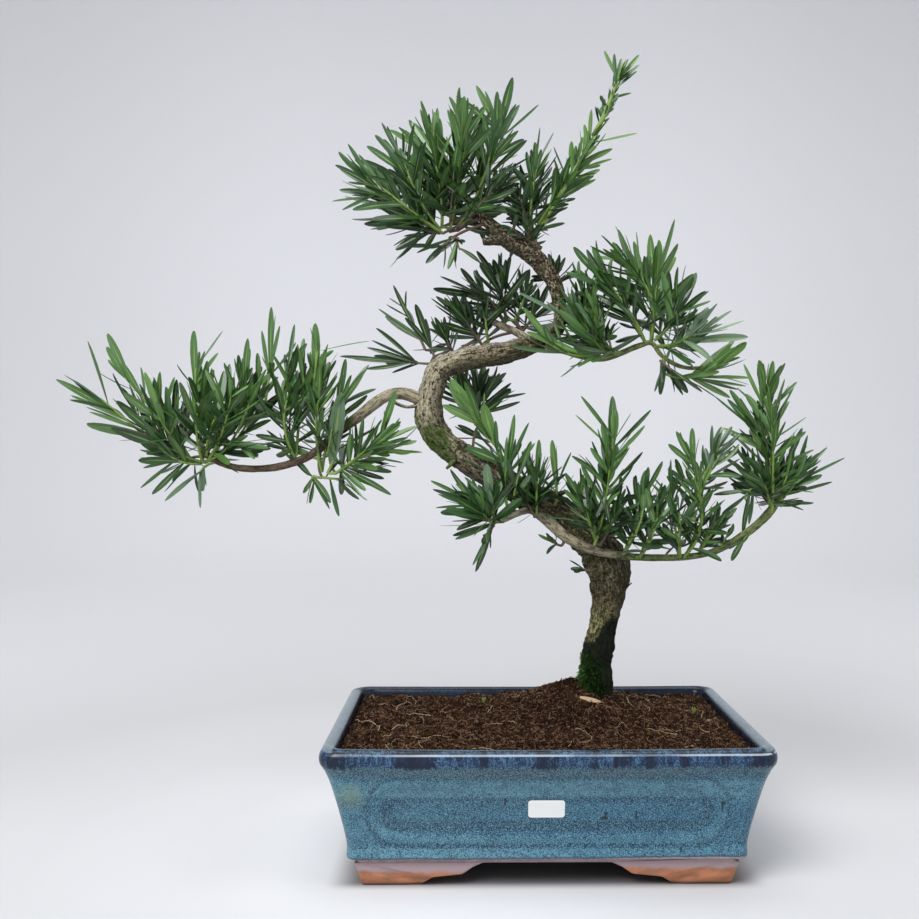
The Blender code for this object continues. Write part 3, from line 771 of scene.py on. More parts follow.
def catmull(a, b, c, d, t):
    """The value between b and c on a smooth curve through a, b, c and d."""
    linear = (c - a) * t
    square = (2 * a - 5 * b + 4 * c - d) * t**2
    cube = (3 * b - a - 3 * c + d) * t**3
    return 0.5 * (2 * b + linear + square + cube)


def smooth_through(points, steps):
    """Points on a smooth curve through the given tuples of numbers."""
    before_first = [2 * a - b for a, b in zip(points[0], points[1])]
    after_last = [2 * a - b for a, b in zip(points[-1], points[-2])]
    guide = [before_first, *points, after_last]
    made = []
    for k in range(1, len(guide) - 2):
        for step in range(steps):
            made.append([catmull(*v, step / steps) for v in zip(*guide[k - 1 : k + 3])])
    made.append(list(points[-1]))
    return made


def pulled(rings, close=True):
    """Pull a circle from ring to ring; layers row and order say where each vertex is."""
    bm = bmesh.new()
    order = bm.verts.layers.int.new("order")
    row = bm.verts.layers.int.new("row")
    bmesh.ops.create_circle(bm, radius=1.0, segments=len(rings[0]))
    for i, vert in enumerate(bm.verts):
        vert[order] = i
        vert.co = rings[0][i]
    edges = bm.edges[:]
    for number, ring in enumerate(rings[1:], 1):
        made = bmesh.ops.extrude_edge_only(bm, edges=edges)["geom"]
        fresh = {item for item in made if isinstance(item, bmesh.types.BMVert)}
        for vert in fresh:
            vert[row] = number
            vert.co = ring[vert[order]]
        found = [item for item in made if isinstance(item, bmesh.types.BMEdge)]
        edges = [edge for edge in found if fresh.issuperset(edge.verts)]
    if close:
        bmesh.ops.holes_fill(bm, edges=[edge for edge in bm.edges if edge.is_boundary], sides=0)
    return bm


def outline(inset):
    """A rounded rectangle drawn in from the lip's widest line, with even steps along its sides."""
    radius = max(CORNER_RADIUS - CORNER_DRAW * inset, LEAST_RADIUS)
    reach = Vector((HALF_WIDTH - inset - radius, HALF_DEPTH - inset - radius))
    corners = ((1, 1), (-1, 1), (-1, -1), (1, -1))
    arcs = []
    for quarter, signs in enumerate(corners):
        middle = Vector((signs[0] * reach.x, signs[1] * reach.y))
        turns = [math.pi / 2 * (quarter + step / CORNER_STEPS) for step in range(CORNER_STEPS + 1)]
        arcs.append([middle + radius * Vector((math.cos(a), math.sin(a))) for a in turns])
    points = []
    for quarter, arc in enumerate(arcs):
        points.extend(arc)
        steps = SHORT_STEPS if quarter % 2 else LONG_STEPS
        onward = arcs[(quarter + 1) % 4][0]
        points.extend(arc[-1].lerp(onward, step / steps) for step in range(1, steps))
    return points


def ease(value, low, high):
    """From 0 at low to 1 at high, smoothly."""
    t = max(0.0, min(1.0, (value - low) / (high - low)))
    return t * t * (3.0 - 2.0 * t)


def panel_share(x, z):
    """1 well inside the moulded panel, 0 well outside it."""
    middle = (PANEL_LOW + PANEL_HIGH) / 2
    far_x = abs(x) - (PANEL_HALF_LENGTH - PANEL_CORNER)
    far_z = abs(z - middle) - ((PANEL_HIGH - PANEL_LOW) / 2 - PANEL_CORNER)
    beyond = Vector((max(far_x, 0.0), max(far_z, 0.0))).length
    distance = beyond + min(max(far_x, far_z), 0.0) - PANEL_CORNER
    return 1.0 - ease(distance, -PANEL_EDGE, PANEL_EDGE)


def wall_inset(z):
    """How far in the outside of the wall is at a height."""
    for (inset_a, low), (inset_b, high) in zip(WALL_OUTSIDE, WALL_OUTSIDE[1:]):
        if low * MM <= z <= high * MM:
            share = (z / MM - low) / (high - low)
            return (inset_a + (inset_b - inset_a) * share) * MM
    return 0.0


def soil_height(x, y):
    """Nearly level, heaped to the left of the trunk's foot; x and y from the pot's centre."""
    away = Vector((x, y)) - MOUND_CENTRE
    mound = MOUND_HEIGHT * math.exp(-0.5 * (away.length / MOUND_SPREAD) ** 2)
    beside = Vector((x, y)) - HEAP_CENTRE
    mound += HEAP_HEIGHT * math.exp(-0.5 * (beside.length / HEAP_SPREAD) ** 2)
    here = Vector((x, y, 0.0))
    lumps = 0.0022 * noise.noise(here * 70.0) + 0.0016 * noise.noise(here * 170.0)
    return SOIL_EDGE + mound + lumps + 0.0012 * noise.noise(here * 420.0)


def panel_line(paint, across, z):
    """Distance from the middle of the moulded panel's sloping edge, outwards positive."""
    middle = (PANEL_LOW + PANEL_HIGH) / 2
    flat_x = PANEL_HALF_LENGTH - PANEL_CORNER
    flat_z = (PANEL_HIGH - PANEL_LOW) / 2 - PANEL_CORNER
    far_x = paint.maths("MAXIMUM", paint.maths("ABSOLUTE", across) - flat_x, 0.0)
    far_z = paint.maths("MAXIMUM", paint.maths("ABSOLUTE", z - middle) - flat_z, 0.0)
    return paint.maths("SQRT", far_x * far_x + far_z * far_z) - PANEL_CORNER


def glaze_paint(pot):
    """Speckled blue glaze, thick under the lip, thin at its foot, over bare clay."""
    paint = Paint("blue_glaze", 0.2)
    place = paint.place()
    x, y, z = (paint.part(place, axis) for axis in "XYZ")
    across = x - POT_MIDDLE.x
    cloud = paint.noise(place, 24.0, 4.0, 0.6)
    wide = paint.noise(paint.stretch(place, (0.35, 0.35, 1.6)), 30.0, 3.0, 0.6)
    speck = paint.noise(place, 1350.0, 2.0, 0.65)
    fleck = paint.noise(paint.stretch(place, (1.0, 1.0, 0.8)), 2300.0, 2.0, 0.6)
    blot = paint.noise(place, 150.0, 4.0, 0.7)
    streak = paint.noise(paint.stretch(place, (1.0, 1.0, 0.20)), 420.0, 5.0, 0.72)
    block = paint.noise(paint.stretch(place, (1.0, 1.0, 0.25)), 72.0, 4.0, 0.68)
    wavy = z + (cloud - 0.5) * 0.008 + (wide - 0.5) * 0.008
    body = paint.mix(paint.step(wide, 0.40, 0.64) * 0.30, pot.blue, pot.teal)
    band = paint.step(wavy, 0.0605, 0.0650) * paint.step(wavy, 0.0765, 0.0725)
    body = paint.mix(band * 0.60, body, pot.teal)
    strip = paint.step(z + (wide - 0.5) * 0.002, 0.0284, 0.0270)
    body = paint.mix(strip * 0.62, body, pot.teal)
    edge = panel_line(paint, across, z)
    front = paint.step(paint.maths("ABSOLUTE", y - POT_MIDDLE.y), HALF_DEPTH - 0.026, HALF_DEPTH - 0.020)
    inner = paint.step(edge, -0.0115, -0.0070) * paint.step(edge, 0.0006, -0.0024)
    inner = inner * paint.step(z, 0.0650, 0.0608)
    outer = paint.step(edge, 0.0062, 0.0080) * paint.step(edge, 0.0110, 0.0092)
    slope = paint.step(edge, 0.0000, 0.0022) * paint.step(edge, 0.0078, 0.0056)
    worn = paint.step(blot, 0.34, 0.62)
    dark_line = (inner * 0.72 + outer * 0.62) * front * (worn * 0.5 + 0.5)
    deep_blue = paint.step(across + (cloud - 0.5) * 0.10, -0.050, 0.030) * paint.step(z, 0.072, 0.050)
    body = paint.mix(deep_blue * 0.45, body, (0.026, 0.112, 0.205))
    body = paint.mix(slope * front * paint.step(z, 0.056, 0.046) * 0.26, body, pot.teal)
    body = paint.mix(dark_line, body, pot.navy)
    # Painted shade: the wall just under the overhanging lip is darkened to slate grey.
    under = paint.step(wavy, 0.0755, 0.0800)
    body = paint.mix(under * 0.80, body, pot.under_lip_shade)
    body = paint.mix(paint.step(blot, 0.58, 0.38) * 0.36, body, pot.navy)
    light = paint.step(speck, 0.51, 0.60) * 0.66 + paint.step(fleck, 0.54, 0.64) * 0.30
    shadow = paint.step(speck, 0.49, 0.40) * 0.72 + paint.step(fleck, 0.46, 0.36) * 0.28
    body = paint.mix(light, body, pot.teal)
    body = paint.mix(shadow, body, pot.navy)
    green_x = paint.step(paint.maths("ABSOLUTE", across + 0.1290 + (cloud - 0.5) * 0.02), 0.0140, 0.0005)
    green_z = paint.step(paint.maths("ABSOLUTE", z - 0.0640 + (cloud - 0.5) * 0.02), 0.0100, 0.0010)
    body = paint.mix(green_x * green_z * 0.36, body, (0.220, 0.280, 0.140))
    thick = paint.step(z + (streak - 0.5) * 0.010 + (block - 0.5) * 0.006, 0.0836, 0.0864)
    mottle = streak * 0.5 + speck * 0.5
    dark_block = paint.step(block + (streak - 0.5) * 0.30 + (blot - 0.5) * 0.12, 0.49, 0.56)
    lip = paint.mix(paint.step(mottle, 0.47, 0.60), (0.006, 0.018, 0.052), (0.066, 0.145, 0.240))
    lip = paint.mix(dark_block * 0.90, lip, (0.005, 0.008, 0.022))
    body = paint.mix(thick, body, lip)
    crown = paint.step(z, 0.0936, 0.0946)
    top = paint.mix(paint.step(mottle, 0.44, 0.57), (0.005, 0.013, 0.028), (0.056, 0.115, 0.172))
    top = paint.mix(paint.step(blot * 0.5 + block * 0.5, 0.49, 0.54) * 0.8, top, (0.005, 0.008, 0.014))
    # Painted reflection: the lip's top is lighter towards its left and right ends.
    side_rim_sheen = paint.step(paint.maths("ABSOLUTE", across), HALF_WIDTH - 0.0110, HALF_WIDTH - 0.0085)
    top = paint.mix(side_rim_sheen * 0.55, top, (0.190, 0.245, 0.275))
    body = paint.mix(crown, body, top)
    # Painted shade: the inside of the rim, above the soil, is darkened almost to black.
    well_x = paint.maths("ABSOLUTE", across) - (HALF_WIDTH - 0.0100)
    well_y = paint.maths("ABSOLUTE", y - POT_MIDDLE.y) - (HALF_DEPTH - 0.0100)
    well = paint.step(paint.maths("MAXIMUM", well_x, well_y), 0.0004, -0.0004)
    well = well * paint.step(z, 0.0720, 0.0740) * (1.0 - crown)
    body = paint.mix(well * 0.85, body, (0.004, 0.006, 0.012))
    # Painted shade on the far rim, darkening its top and its faces.
    far_rim_shade = paint.step(y - POT_MIDDLE.y, HALF_DEPTH - 0.0200, HALF_DEPTH - 0.0170)
    body = paint.mix(far_rim_shade * paint.step(z, 0.0800, 0.0840) * 0.75, body, (0.006, 0.010, 0.020))
    # The pale broken line along the lip's outer crest is partly glaze breaking over the edge and partly a painted
    # highlight.
    past_x = paint.maths("ABSOLUTE", across) - (HALF_WIDTH - 0.0035)
    past_y = paint.maths("ABSOLUTE", y - POT_MIDDLE.y) - (HALF_DEPTH - 0.0035)
    outside = paint.step(paint.maths("MAXIMUM", past_x, past_y), -0.0006, 0.0002)
    crest = paint.step(z, 0.0921, 0.0927) * paint.step(z, 0.0938, 0.0932) * outside
    body = paint.mix(crest * paint.step(wide, 0.36, 0.56) * 0.60, body, pot.pale)
    for drip_x, drip_z, half_width, half_height in DRIPS:
        ragged = (speck - 0.5) * 0.0010
        near_x = paint.step(paint.maths("ABSOLUTE", across - drip_x + ragged), half_width, half_width * 0.5)
        near_z = paint.step(paint.maths("ABSOLUTE", z - drip_z + ragged), half_height, half_height * 0.7)
        body = paint.mix(near_x * near_z * front * 0.80, body, (0.014, 0.018, 0.024))
    foot_line = z - across * 0.006 + (cloud - 0.5) * 0.003 + (streak - 0.5) * 0.0015
    bare = paint.step(foot_line, 0.0208, 0.0202)
    # Painted shade: a dark line on the roll where the glazed wall turns under towards the feet.
    foot_roll_shade = paint.step(foot_line, 0.0222, 0.0214) * (1.0 - bare)
    body = paint.mix(foot_roll_shade * 0.70, body, (0.040, 0.060, 0.085))
    dull = paint.mix(paint.step(blot, 0.42, 0.60) * 0.35, pot.mauve, (0.150, 0.105, 0.120))
    # Painted shade: the pot's underside between the feet is darkened nearly to black.
    far_x = paint.maths("ABSOLUTE", across) - (HALF_WIDTH - 0.0235)
    far_y = paint.maths("ABSOLUTE", y - POT_MIDDLE.y) - (HALF_DEPTH - 0.0235)
    underside_shade = paint.step(paint.maths("MAXIMUM", far_x, far_y), 0.0004, -0.0004) * paint.step(z, 0.0180, 0.0175)
    dull = paint.mix(underside_shade, dull, (0.010, 0.008, 0.007))
    paint.set("Base Color", paint.mix(bare, body, dull))
    paint.set("Roughness", bare * 0.45 + 0.22 + (speck - 0.5) * 0.12)
    paint.set("Specular IOR Level", 0.26)
    paint.bump(speck * 0.5 + wide * 0.5, 0.0005, 0.30)
    return paint.material


def clay_paint(pot):
    """Bare clay, mauve near the glaze and darker at the bottom of the feet, with painted shade on their inner faces
    under the pot.
    """
    paint = Paint("fired_clay", 0.72)
    place = paint.place()
    x, y, z = (paint.part(place, axis) for axis in "XYZ")
    blotch = paint.noise(place, 70.0, 4.0, 0.6)
    flow = paint.noise(paint.stretch(place, (0.4, 0.4, 1.6)), 140.0, 3.0, 0.6)
    grain = paint.noise(place, 1100.0, 3.0, 0.7)
    body = paint.mix(paint.step(flow, 0.42, 0.62) * 0.55, pot.clay, (0.170, 0.085, 0.055))
    body = paint.mix(paint.step(z, 0.0030, 0.0008) * 0.7, body, (0.075, 0.040, 0.028))
    body = paint.mix(paint.step(grain, 0.56, 0.70) * 0.5, body, (0.070, 0.040, 0.030))
    right = paint.step(x - POT_MIDDLE.x, -0.02, 0.02) * 0.0022
    line = z - right + (blotch - 0.5) * 0.006
    body = paint.mix(paint.step(line, 0.0085, 0.0118), body, pot.mauve)
    # Painted shade: the feet's inner faces, under the pot, are darkened.
    inside_x = paint.step(paint.maths("ABSOLUTE", x - POT_MIDDLE.x), HALF_WIDTH - 0.036, HALF_WIDTH - 0.044)
    inside_y = paint.step(paint.maths("ABSOLUTE", y - POT_MIDDLE.y), HALF_DEPTH - 0.031, HALF_DEPTH - 0.037)
    body = paint.mix(inside_x * inside_y * 0.9, body, (0.016, 0.012, 0.011))
    paint.set("Base Color", body)
    paint.bump(grain * 0.6 + blotch * 0.4, 0.0005, 0.5)
    return paint.material


def soil_paint(soil):
    """Damp fibrous soil."""
    paint = Paint("fibrous_soil", 1.0)
    place = paint.place()
    clods = paint.noise(place, 120.0, 4.0, 0.7)
    grain = paint.noise(place, 700.0, 4.0, 0.75)
    body = paint.mix(paint.step(clods * 0.4 + grain * 0.6, 0.44, 0.58), soil.dark, soil.brown)
    paint.set("Base Color", paint.mix(paint.step(grain, 0.58, 0.68) * 0.5, body, soil.tan))
    paint.set("Specular IOR Level", 0.08)
    paint.bump(grain, 0.0030, 1.0)
    return paint.material


def bark_paint(bark):
    """Flaking bark: pale above, olive and dark below, with moss at the foot and in the bend, a painted highlight
    where it faces up and left and painted shade where it faces down and right.
    """
    paint = Paint("bark", 0.92)
    place = paint.place()
    x, y, z = (paint.part(place, axis) for axis in "XYZ")
    straight = paint.attribute("straight")
    patch = paint.noise(place, 60.0, 3.0, 0.6)
    length = paint.part(straight, "Z") + (patch - 0.5) * 0.030
    outward = paint.attribute("outward")
    lit = paint.part(outward, "Z") * 0.8 - paint.part(outward, "X") * 0.6
    streak = paint.noise(paint.stretch(straight, (1.0, 1.0, 0.40)), 430.0, 5.0, 0.75)
    ridge = paint.noise(paint.stretch(straight, (1.0, 1.0, 0.18)), 800.0, 4.0, 0.7)
    fine = paint.noise(paint.stretch(straight, (1.0, 1.0, 0.80)), 850.0, 4.0, 0.75)
    wrinkle = paint.noise(paint.stretch(straight, (0.30, 0.30, 1.0)), 800.0, 3.0, 0.6)
    brown = (0.170, 0.135, 0.080)
    dusk = (0.075, 0.070, 0.036)
    tones = (
        (0.000, bark.olive),
        (0.112, bark.olive),
        (0.132, (0.130, 0.110, 0.058)),
        (0.155, dusk),
        (0.200, (0.125, 0.112, 0.056)),
        (0.340, dusk),
        (0.385, (0.180, 0.150, 0.092)),
        (0.450, (0.205, 0.175, 0.116)),
        (0.525, bark.pale),
        (0.600, bark.pale),
        (0.660, (0.160, 0.126, 0.078)),
        (0.720, (0.105, 0.086, 0.048)),
        (0.780, (0.140, 0.140, 0.066)),
        (0.800, (0.120, 0.088, 0.056)),
        (0.880, (0.120, 0.088, 0.056)),
    )
    flake = paint.ramp(length * (1.0 / TRUNK_LENGTH), tones)
    cover = streak * 0.45 + ridge * 0.42 + fine * 0.36 + wrinkle * 0.22 - 0.225
    grain = paint.noise(straight, 480.0, 3.0, 0.7)
    upper = paint.step(length, 0.405, 0.430)
    cover = cover * (1.0 - upper) + (grain + (fine - 0.5) * 0.3) * upper
    calm = paint.step(length, 0.205, 0.235) * paint.step(length, 0.375, 0.345)
    cover = cover + calm * 0.020
    body = paint.mix(paint.step(cover, 0.45, 0.545), bark.crack, flake)
    pale_share = paint.step(z, 0.170, 0.240) * 0.30 + 0.40
    body = paint.mix(paint.step(cover, 0.54, 0.62) * pale_share, body, bark.lichen)
    high = paint.step(z, 0.190, 0.260)
    # Painted highlight: high on the trunk, bark that faces up and to the left takes the worn grey.
    body = paint.mix(paint.step(lit, 0.30, 0.90) * paint.step(fine, 0.40, 0.58) * high * 0.48, body, bark.worn)
    # Painted shade: bark that faces down and to the right is darkened.
    body = paint.mix(paint.step(lit, 0.15, -0.70) * 0.70, body, (0.046, 0.040, 0.022))
    worn = paint.step(patch, 0.52, 0.64) * 0.45
    body = paint.mix(worn, body, dusk)
    across = x - POT_MIDDLE.x
    # Darker low on the trunk, up to a ragged line that rises to the right.
    rise = paint.maths("MINIMUM", paint.maths("MAXIMUM", across - 0.0430, 0.0) * 1.9, 0.0170)
    ragged = (patch - 0.5) * 0.012 + (fine - 0.5) * 0.008
    dark_foot = paint.step(z - rise + ragged, 0.1500, 0.1435)
    night = paint.mix(paint.step(cover, 0.44, 0.56), (0.003, 0.004, 0.002), (0.011, 0.014, 0.007))
    body = paint.mix(dark_foot, body, night)
    low_moss = paint.step(z + (patch - 0.5) * 0.03, 0.138, 0.116) * 0.7
    left_moss = paint.step(x - POT_MIDDLE.x + (patch - 0.5) * 0.01, 0.052, 0.038) * 0.9 + 0.1
    bend = paint.step(length, 0.244, 0.256) * paint.step(length, 0.296, 0.284)
    under_bend = paint.step(z + across * 0.8, 0.255, 0.243) * 0.85 + 0.15
    tufts = paint.step(fine * 0.6 + streak * 0.4, 0.42, 0.52)
    bend_moss = bend * under_bend * paint.step(patch, 0.40, 0.52) * tufts * 0.85
    scar = paint.step(length, 0.2470, 0.2480) * paint.step(length, 0.2505, 0.2492)
    body = paint.mix(scar * 0.85, body, bark.crack)
    moss = low_moss * left_moss * paint.step(fine, 0.34, 0.46) + bend_moss
    green = paint.mix(paint.step(fine, 0.44, 0.56), (0.004, 0.012, 0.002), bark.moss)
    bend_green = paint.mix(paint.step(fine, 0.46, 0.58), (0.014, 0.028, 0.006), (0.090, 0.170, 0.022))
    green = paint.mix(bend, green, bend_green)
    paint.set("Base Color", paint.mix(moss, body, green))
    paint.set("Specular IOR Level", 0.15)
    paint.bump(cover, 0.0018, 0.9)
    return paint.material


def bough_paint(bark):
    """Flaking bark, pale near the trunk, brown or green further out."""
    paint = Paint("bough_bark", 0.85)
    place = paint.place()
    x, y, z = (paint.part(place, axis) for axis in "XYZ")
    x = x - POT_MIDDLE.x
    straight = paint.attribute("straight")
    patch = paint.noise(straight, 120.0, 3.0, 0.6)
    length = paint.part(straight, "Z") + (patch - 0.5) * 0.02
    streak = paint.noise(paint.stretch(straight, (1.0, 1.0, 0.30)), 600.0, 4.0, 0.7)
    fine = paint.noise(straight, 1300.0, 3.0, 0.7)
    young = paint.mix(paint.step(x, -0.02, 0.03), bark.old_twig, (0.150, 0.190, 0.070))
    right_bough = paint.step(z, 0.345, 0.353) * paint.step(x, 0.000, 0.016)
    far_out = paint.maths("MAXIMUM", paint.step(length, 0.055, 0.080), right_bough)
    body = paint.mix(far_out, bark.pale, young)
    body = paint.mix(paint.step(z, 0.440, 0.452) * 0.62, body, (0.040, 0.030, 0.020))
    cover = streak * 0.6 + fine * 0.4
    body = paint.mix(paint.step(cover, 0.52, 0.42) * 0.85, body, bark.crack)
    body = paint.mix(paint.step(cover, 0.55, 0.66) * 0.35, body, bark.pale)
    body = paint.mix(paint.step(patch, 0.52, 0.62) * 0.4, body, (0.045, 0.040, 0.022))
    paint.set("Base Color", body)
    paint.set("Specular IOR Level", 0.2)
    paint.bump(cover, 0.0009, 0.8)
    return paint.material


def plain_paint(name, colour, roughness):
    """One colour all over, which needs no baking."""
    return Paint(name, roughness, tuple(colour)).material


def matt_paint(name, colour):
    """One dull colour all over."""
    paint = Paint(name, 1.0, tuple(colour))
    paint.set("Specular IOR Level", 0.08)
    return paint.material


def limb_path(points, spacing=1.3):
    """Places and radii along a limb, about a spacing in millimetres apart."""
    longest = max((Vector(a[:3]) - Vector(b[:3])).length for a, b in zip(points, points[1:]))
    steps = max(2, round(longest / spacing * 0.7))
    return [(at(*p[:3]), p[3] * MM / 2) for p in smooth_through(points, steps)]


def limb_mesh(name, paths, sides, relief, rng, starts=None):
    """Closed tubes with bark relief.

    Attribute straight holds each vertex as if the limb were unbent, and attribute outward
    the way that it faces.
    """
    joined = bmesh.new()
    found = []
    for path, length in zip(paths, starts or [0.0] * len(paths)):
        normal = (path[1][0] - path[0][0]).orthogonal().normalized()
        shift = rng.uniform(0.0, 5.0)
        rings = []
        unbent = []
        for i, (place, radius) in enumerate(path):
            before = path[max(i - 1, 0)][0]
            after = path[min(i + 1, len(path) - 1)][0]
            tangent = (after - before).normalized()
            normal = (normal - tangent * normal.dot(tangent)).normalized()
            side = tangent.cross(normal)
            if i:
                length += (place - before).length
            ring = []
            flat = []
            for k in range(sides):
                turn = 2.0 * math.pi * k / sides
                out = normal * math.cos(turn) + side * math.sin(turn)
                spot = Vector((math.cos(turn) * radius, math.sin(turn) * radius, length))
                ring.append(place + out * (radius + relief(spot + Vector((0, 0, shift)), radius)))
                flat.append((spot, out))
            rings.append(ring)
            unbent.append(flat)
        bm = pulled(rings)
        order = bm.verts.layers.int["order"]
        row = bm.verts.layers.int["row"]
        found.extend(unbent[vert[row]][vert[order]] for vert in bm.verts)
        part = bpy.data.meshes.new("part")
        bm.to_mesh(part)
        bm.free()
        joined.from_mesh(part)
        bpy.data.meshes.remove(part)
    mesh = mesh_of(joined, name)
    for i, label in enumerate(("straight", "outward")):
        values = [number for pair in found for number in pair[i]]
        mesh.attributes.new(label, "FLOAT_VECTOR", "POINT").data.foreach_set("vector", values)
    return mesh


def bark_relief(depth):
    """Furrows along the limb, lumps and flakes, in proportion to its radius."""

    def relief(spot, radius):
        long = Vector((spot.x, spot.y, spot.z * 0.45))
        furrow = abs(noise.noise(long * 300.0)) * 2.0 - 0.5
        lump = noise.noise(spot * 85.0)
        flake = noise.noise(long * 900.0)
        grain = noise.noise(spot * 1500.0)
        return radius * depth * (0.45 * furrow + 0.62 * lump + 0.26 * flake + 0.14 * grain)

    return relief


def bezier(a, b, c, count):
    """Points on a bend from a to c, drawn towards b."""
    made = []
    for i in range(count + 1):
        t = i / count
        made.append(a * (1 - t) ** 2 + b * (2 * t * (1 - t)) + c * t**2)
    return made


def along(points, share):
    """The place and direction at a share of a line of points."""
    spot = max(0.0, min(0.9999, share)) * (len(points) - 1)
    i = int(spot)
    step = points[i + 1] - points[i]
    return points[i] + step * (spot - i), step.normalized()


def path_length(points):
    return sum((b - a).length for a, b in zip(points, points[1:]))


class Crown:
    """Collects the stems and leaves that the growth rule makes."""

    def __init__(self, settings, limbs):
        self.settings = settings
        self.limbs = limbs
        self.rng = random.Random(settings.seed)
        self.old = []
        self.green = []
        self.leaves = {tint: [] for tint in TINTS}

    def clothe(self, stem, leaf_length, count, habit, tint):
        """Leaves in a spiral up a stem, spreading low down and upright at its tip."""
        rng = self.rng
        wide, narrow, lift, bare = HABITS[habit]
        turn = rng.uniform(0.0, 2.0 * math.pi)
        for k in range(count):
            up_stem = (k + 0.5) / count
            place, tangent = along(stem, bare + (1.0 - bare) * up_stem**0.8)
            turn += GOLDEN_TURN + rng.gauss(0.0, 0.15)
            radial = Quaternion(tangent, turn) @ tangent.orthogonal().normalized()
            tilt = math.radians(wide + (narrow - wide) * up_stem**1.25 + rng.gauss(0.0, 10.0))
            heading = tangent * math.cos(tilt) + radial * math.sin(tilt)
            heading = (heading + UP * lift * rng.uniform(0.2, 1.0)).normalized()
            normal = tangent.cross(radial).cross(heading).normalized()
            normal = Quaternion(heading, rng.gauss(0.0, 0.9)) @ normal
            size = leaf_length * MM * rng.uniform(0.60, 1.25) * (1.0 - 0.30 * up_stem**4)
            breadth = rng.uniform(0.38, 0.65) if rng.random() < 0.28 else rng.uniform(0.80, 1.20)
            width = self.settings.width * (0.45 + 0.60 * size / 0.038) * breadth
            bends = (rng.gauss(0.04, 0.20), rng.gauss(0.0, 0.15))
            point = rng.uniform(0.70, 1.0)
            shade = self.shade(tint, up_stem)
            self.leaves[shade].append((place, heading, normal, size, width, *bends, point))

    def shade(self, tint, up_stem):
        """The shoot's own tint, or now and then its neighbour: the darker tint low down is painted shade, the
        lighter one on top painted light.
        """
        draw = self.rng.random()
        if draw < 0.58 * (1.0 - up_stem):
            return DARKER[tint]
        if draw > 0.93 - 0.22 * up_stem**3:
            return LIGHTER[tint]
        return tint

    def nearest_limb(self, place):
        """The nearest place on a limb, and a place a little way back along that limb."""
        best = None
        for limb in self.limbs:
            for i, (spot, radius) in enumerate(limb):
                distance = (spot - place).length - radius
                if best is None or distance < best[0]:
                    best = (distance, limb, i)
        distance, limb, i = best
        back = max(0, i - round(min(distance, 0.014) / 0.0013))
        start, near = limb[back][0], limb[i][0]
        for stem, tint in self.shown:
            for before, spot in zip(stem, stem[1:]):
                if (spot - place).length < distance:
                    start, near, distance = before, spot, (spot - place).length
        return start, near, distance

    def mass(self, tint, foot_depth, end_depth, half_depth, shoots):
        """The shoots that show, each with one behind and one in front that fill the depth."""
        rng = self.rng
        self.shown = []
        middle = (foot_depth + end_depth) / 2
        for foot_x, foot_z, bend_x, bend_z, end_x, end_z, length, count, habit, own in shoots:
            foot = at(foot_x, foot_depth, foot_z)
            start, near, distance = self.nearest_limb(foot)
            if distance > 0.003:
                bend = near.lerp(foot, 0.45) - UP * 0.1 * distance
                twigs = self.old if len(self.shown) == 0 or own == "dark" else self.green
                twigs.append((bezier(start, bend, foot, 8), 0.0013, 0.0011))
            bend = at(bend_x, middle, bend_z)
            end = at(end_x, end_depth, end_z)
            self.shown.append((self.shoot(foot, bend, end, length, count, habit, own), own))
            if habit == "long" or count < 9:
                continue
            room = max(half_depth - 0.5 * length, 0.35 * half_depth) * MM
            for side in (-1.0, 1.0):
                away = Vector((0.0, side * room * rng.uniform(0.6, 1.0), 0.0))
                short = rng.uniform(0.66, 0.92)
                goal = foot.lerp(end, short) + away
                turn_at = foot.lerp(bend, short) + away * rng.uniform(0.5, 0.8)
                # Painted shade: the shoot behind takes the next darker tint.
                tint = DARKER[own] if side > 0.0 else own
                self.shoot(foot, turn_at, goal, length, round(count * 0.75), habit, tint)

    def shoot(self, foot, bend, end, length, count, habit, tint):
        """One stem with its leaves; bend is a place that the stem passes half way."""
        pull = bend * 2.0 - (foot + end) * 0.5
        stem = bezier(foot, pull, end, 12)
        thick = 0.0022 if habit == "leader" else 0.0012
        twigs = self.old if tint == "dark" else self.green
        twigs.append((stem, thick, 0.5 * thick))
        self.clothe(stem, length, count, habit, tint)
        return stem

    def reach(self, tips, depth, half_depth):
        """The longest leaves of a mass, each from the place on its stems that suits its length."""
        rng = self.rng
        for tip_x, tip_z, width, length in tips:
            tip = at(tip_x, depth + half_depth * rng.uniform(-0.25, 0.25), tip_z)
            best = None
            for stem, tint in self.shown:
                for here, after in zip(stem[1:], [*stem[2:], stem[-1] * 2.0 - stem[-2]]):
                    leaf = tip - here
                    turned = 1.0 - leaf.normalized().dot((after - here).normalized())
                    cost = abs(leaf.length - length * MM) + 0.3 * length * MM * turned
                    if best is None or cost < best[0]:
                        best = (cost, here, leaf, tint)
            cost, here, leaf, tint = best
            if leaf.length > 1.35 * length * MM or leaf.length < 0.6 * length * MM:
                print("reach", tip_x, tip_z, length, round(leaf.length / MM))
            heading = leaf.normalized()
            facing = Vector((rng.gauss(0.0, 0.4), -1.0, rng.gauss(0.4, 0.5)))
            normal = (facing - heading * facing.dot(heading)).normalized()
            bends = (rng.gauss(0.0, 0.08), rng.gauss(0.0, 0.08))
            one = (here, heading, normal, leaf.length, width * MM, *bends, rng.uniform(0.6, 1.0))
            self.leaves[self.shade(tint, 0.8)].append(one)


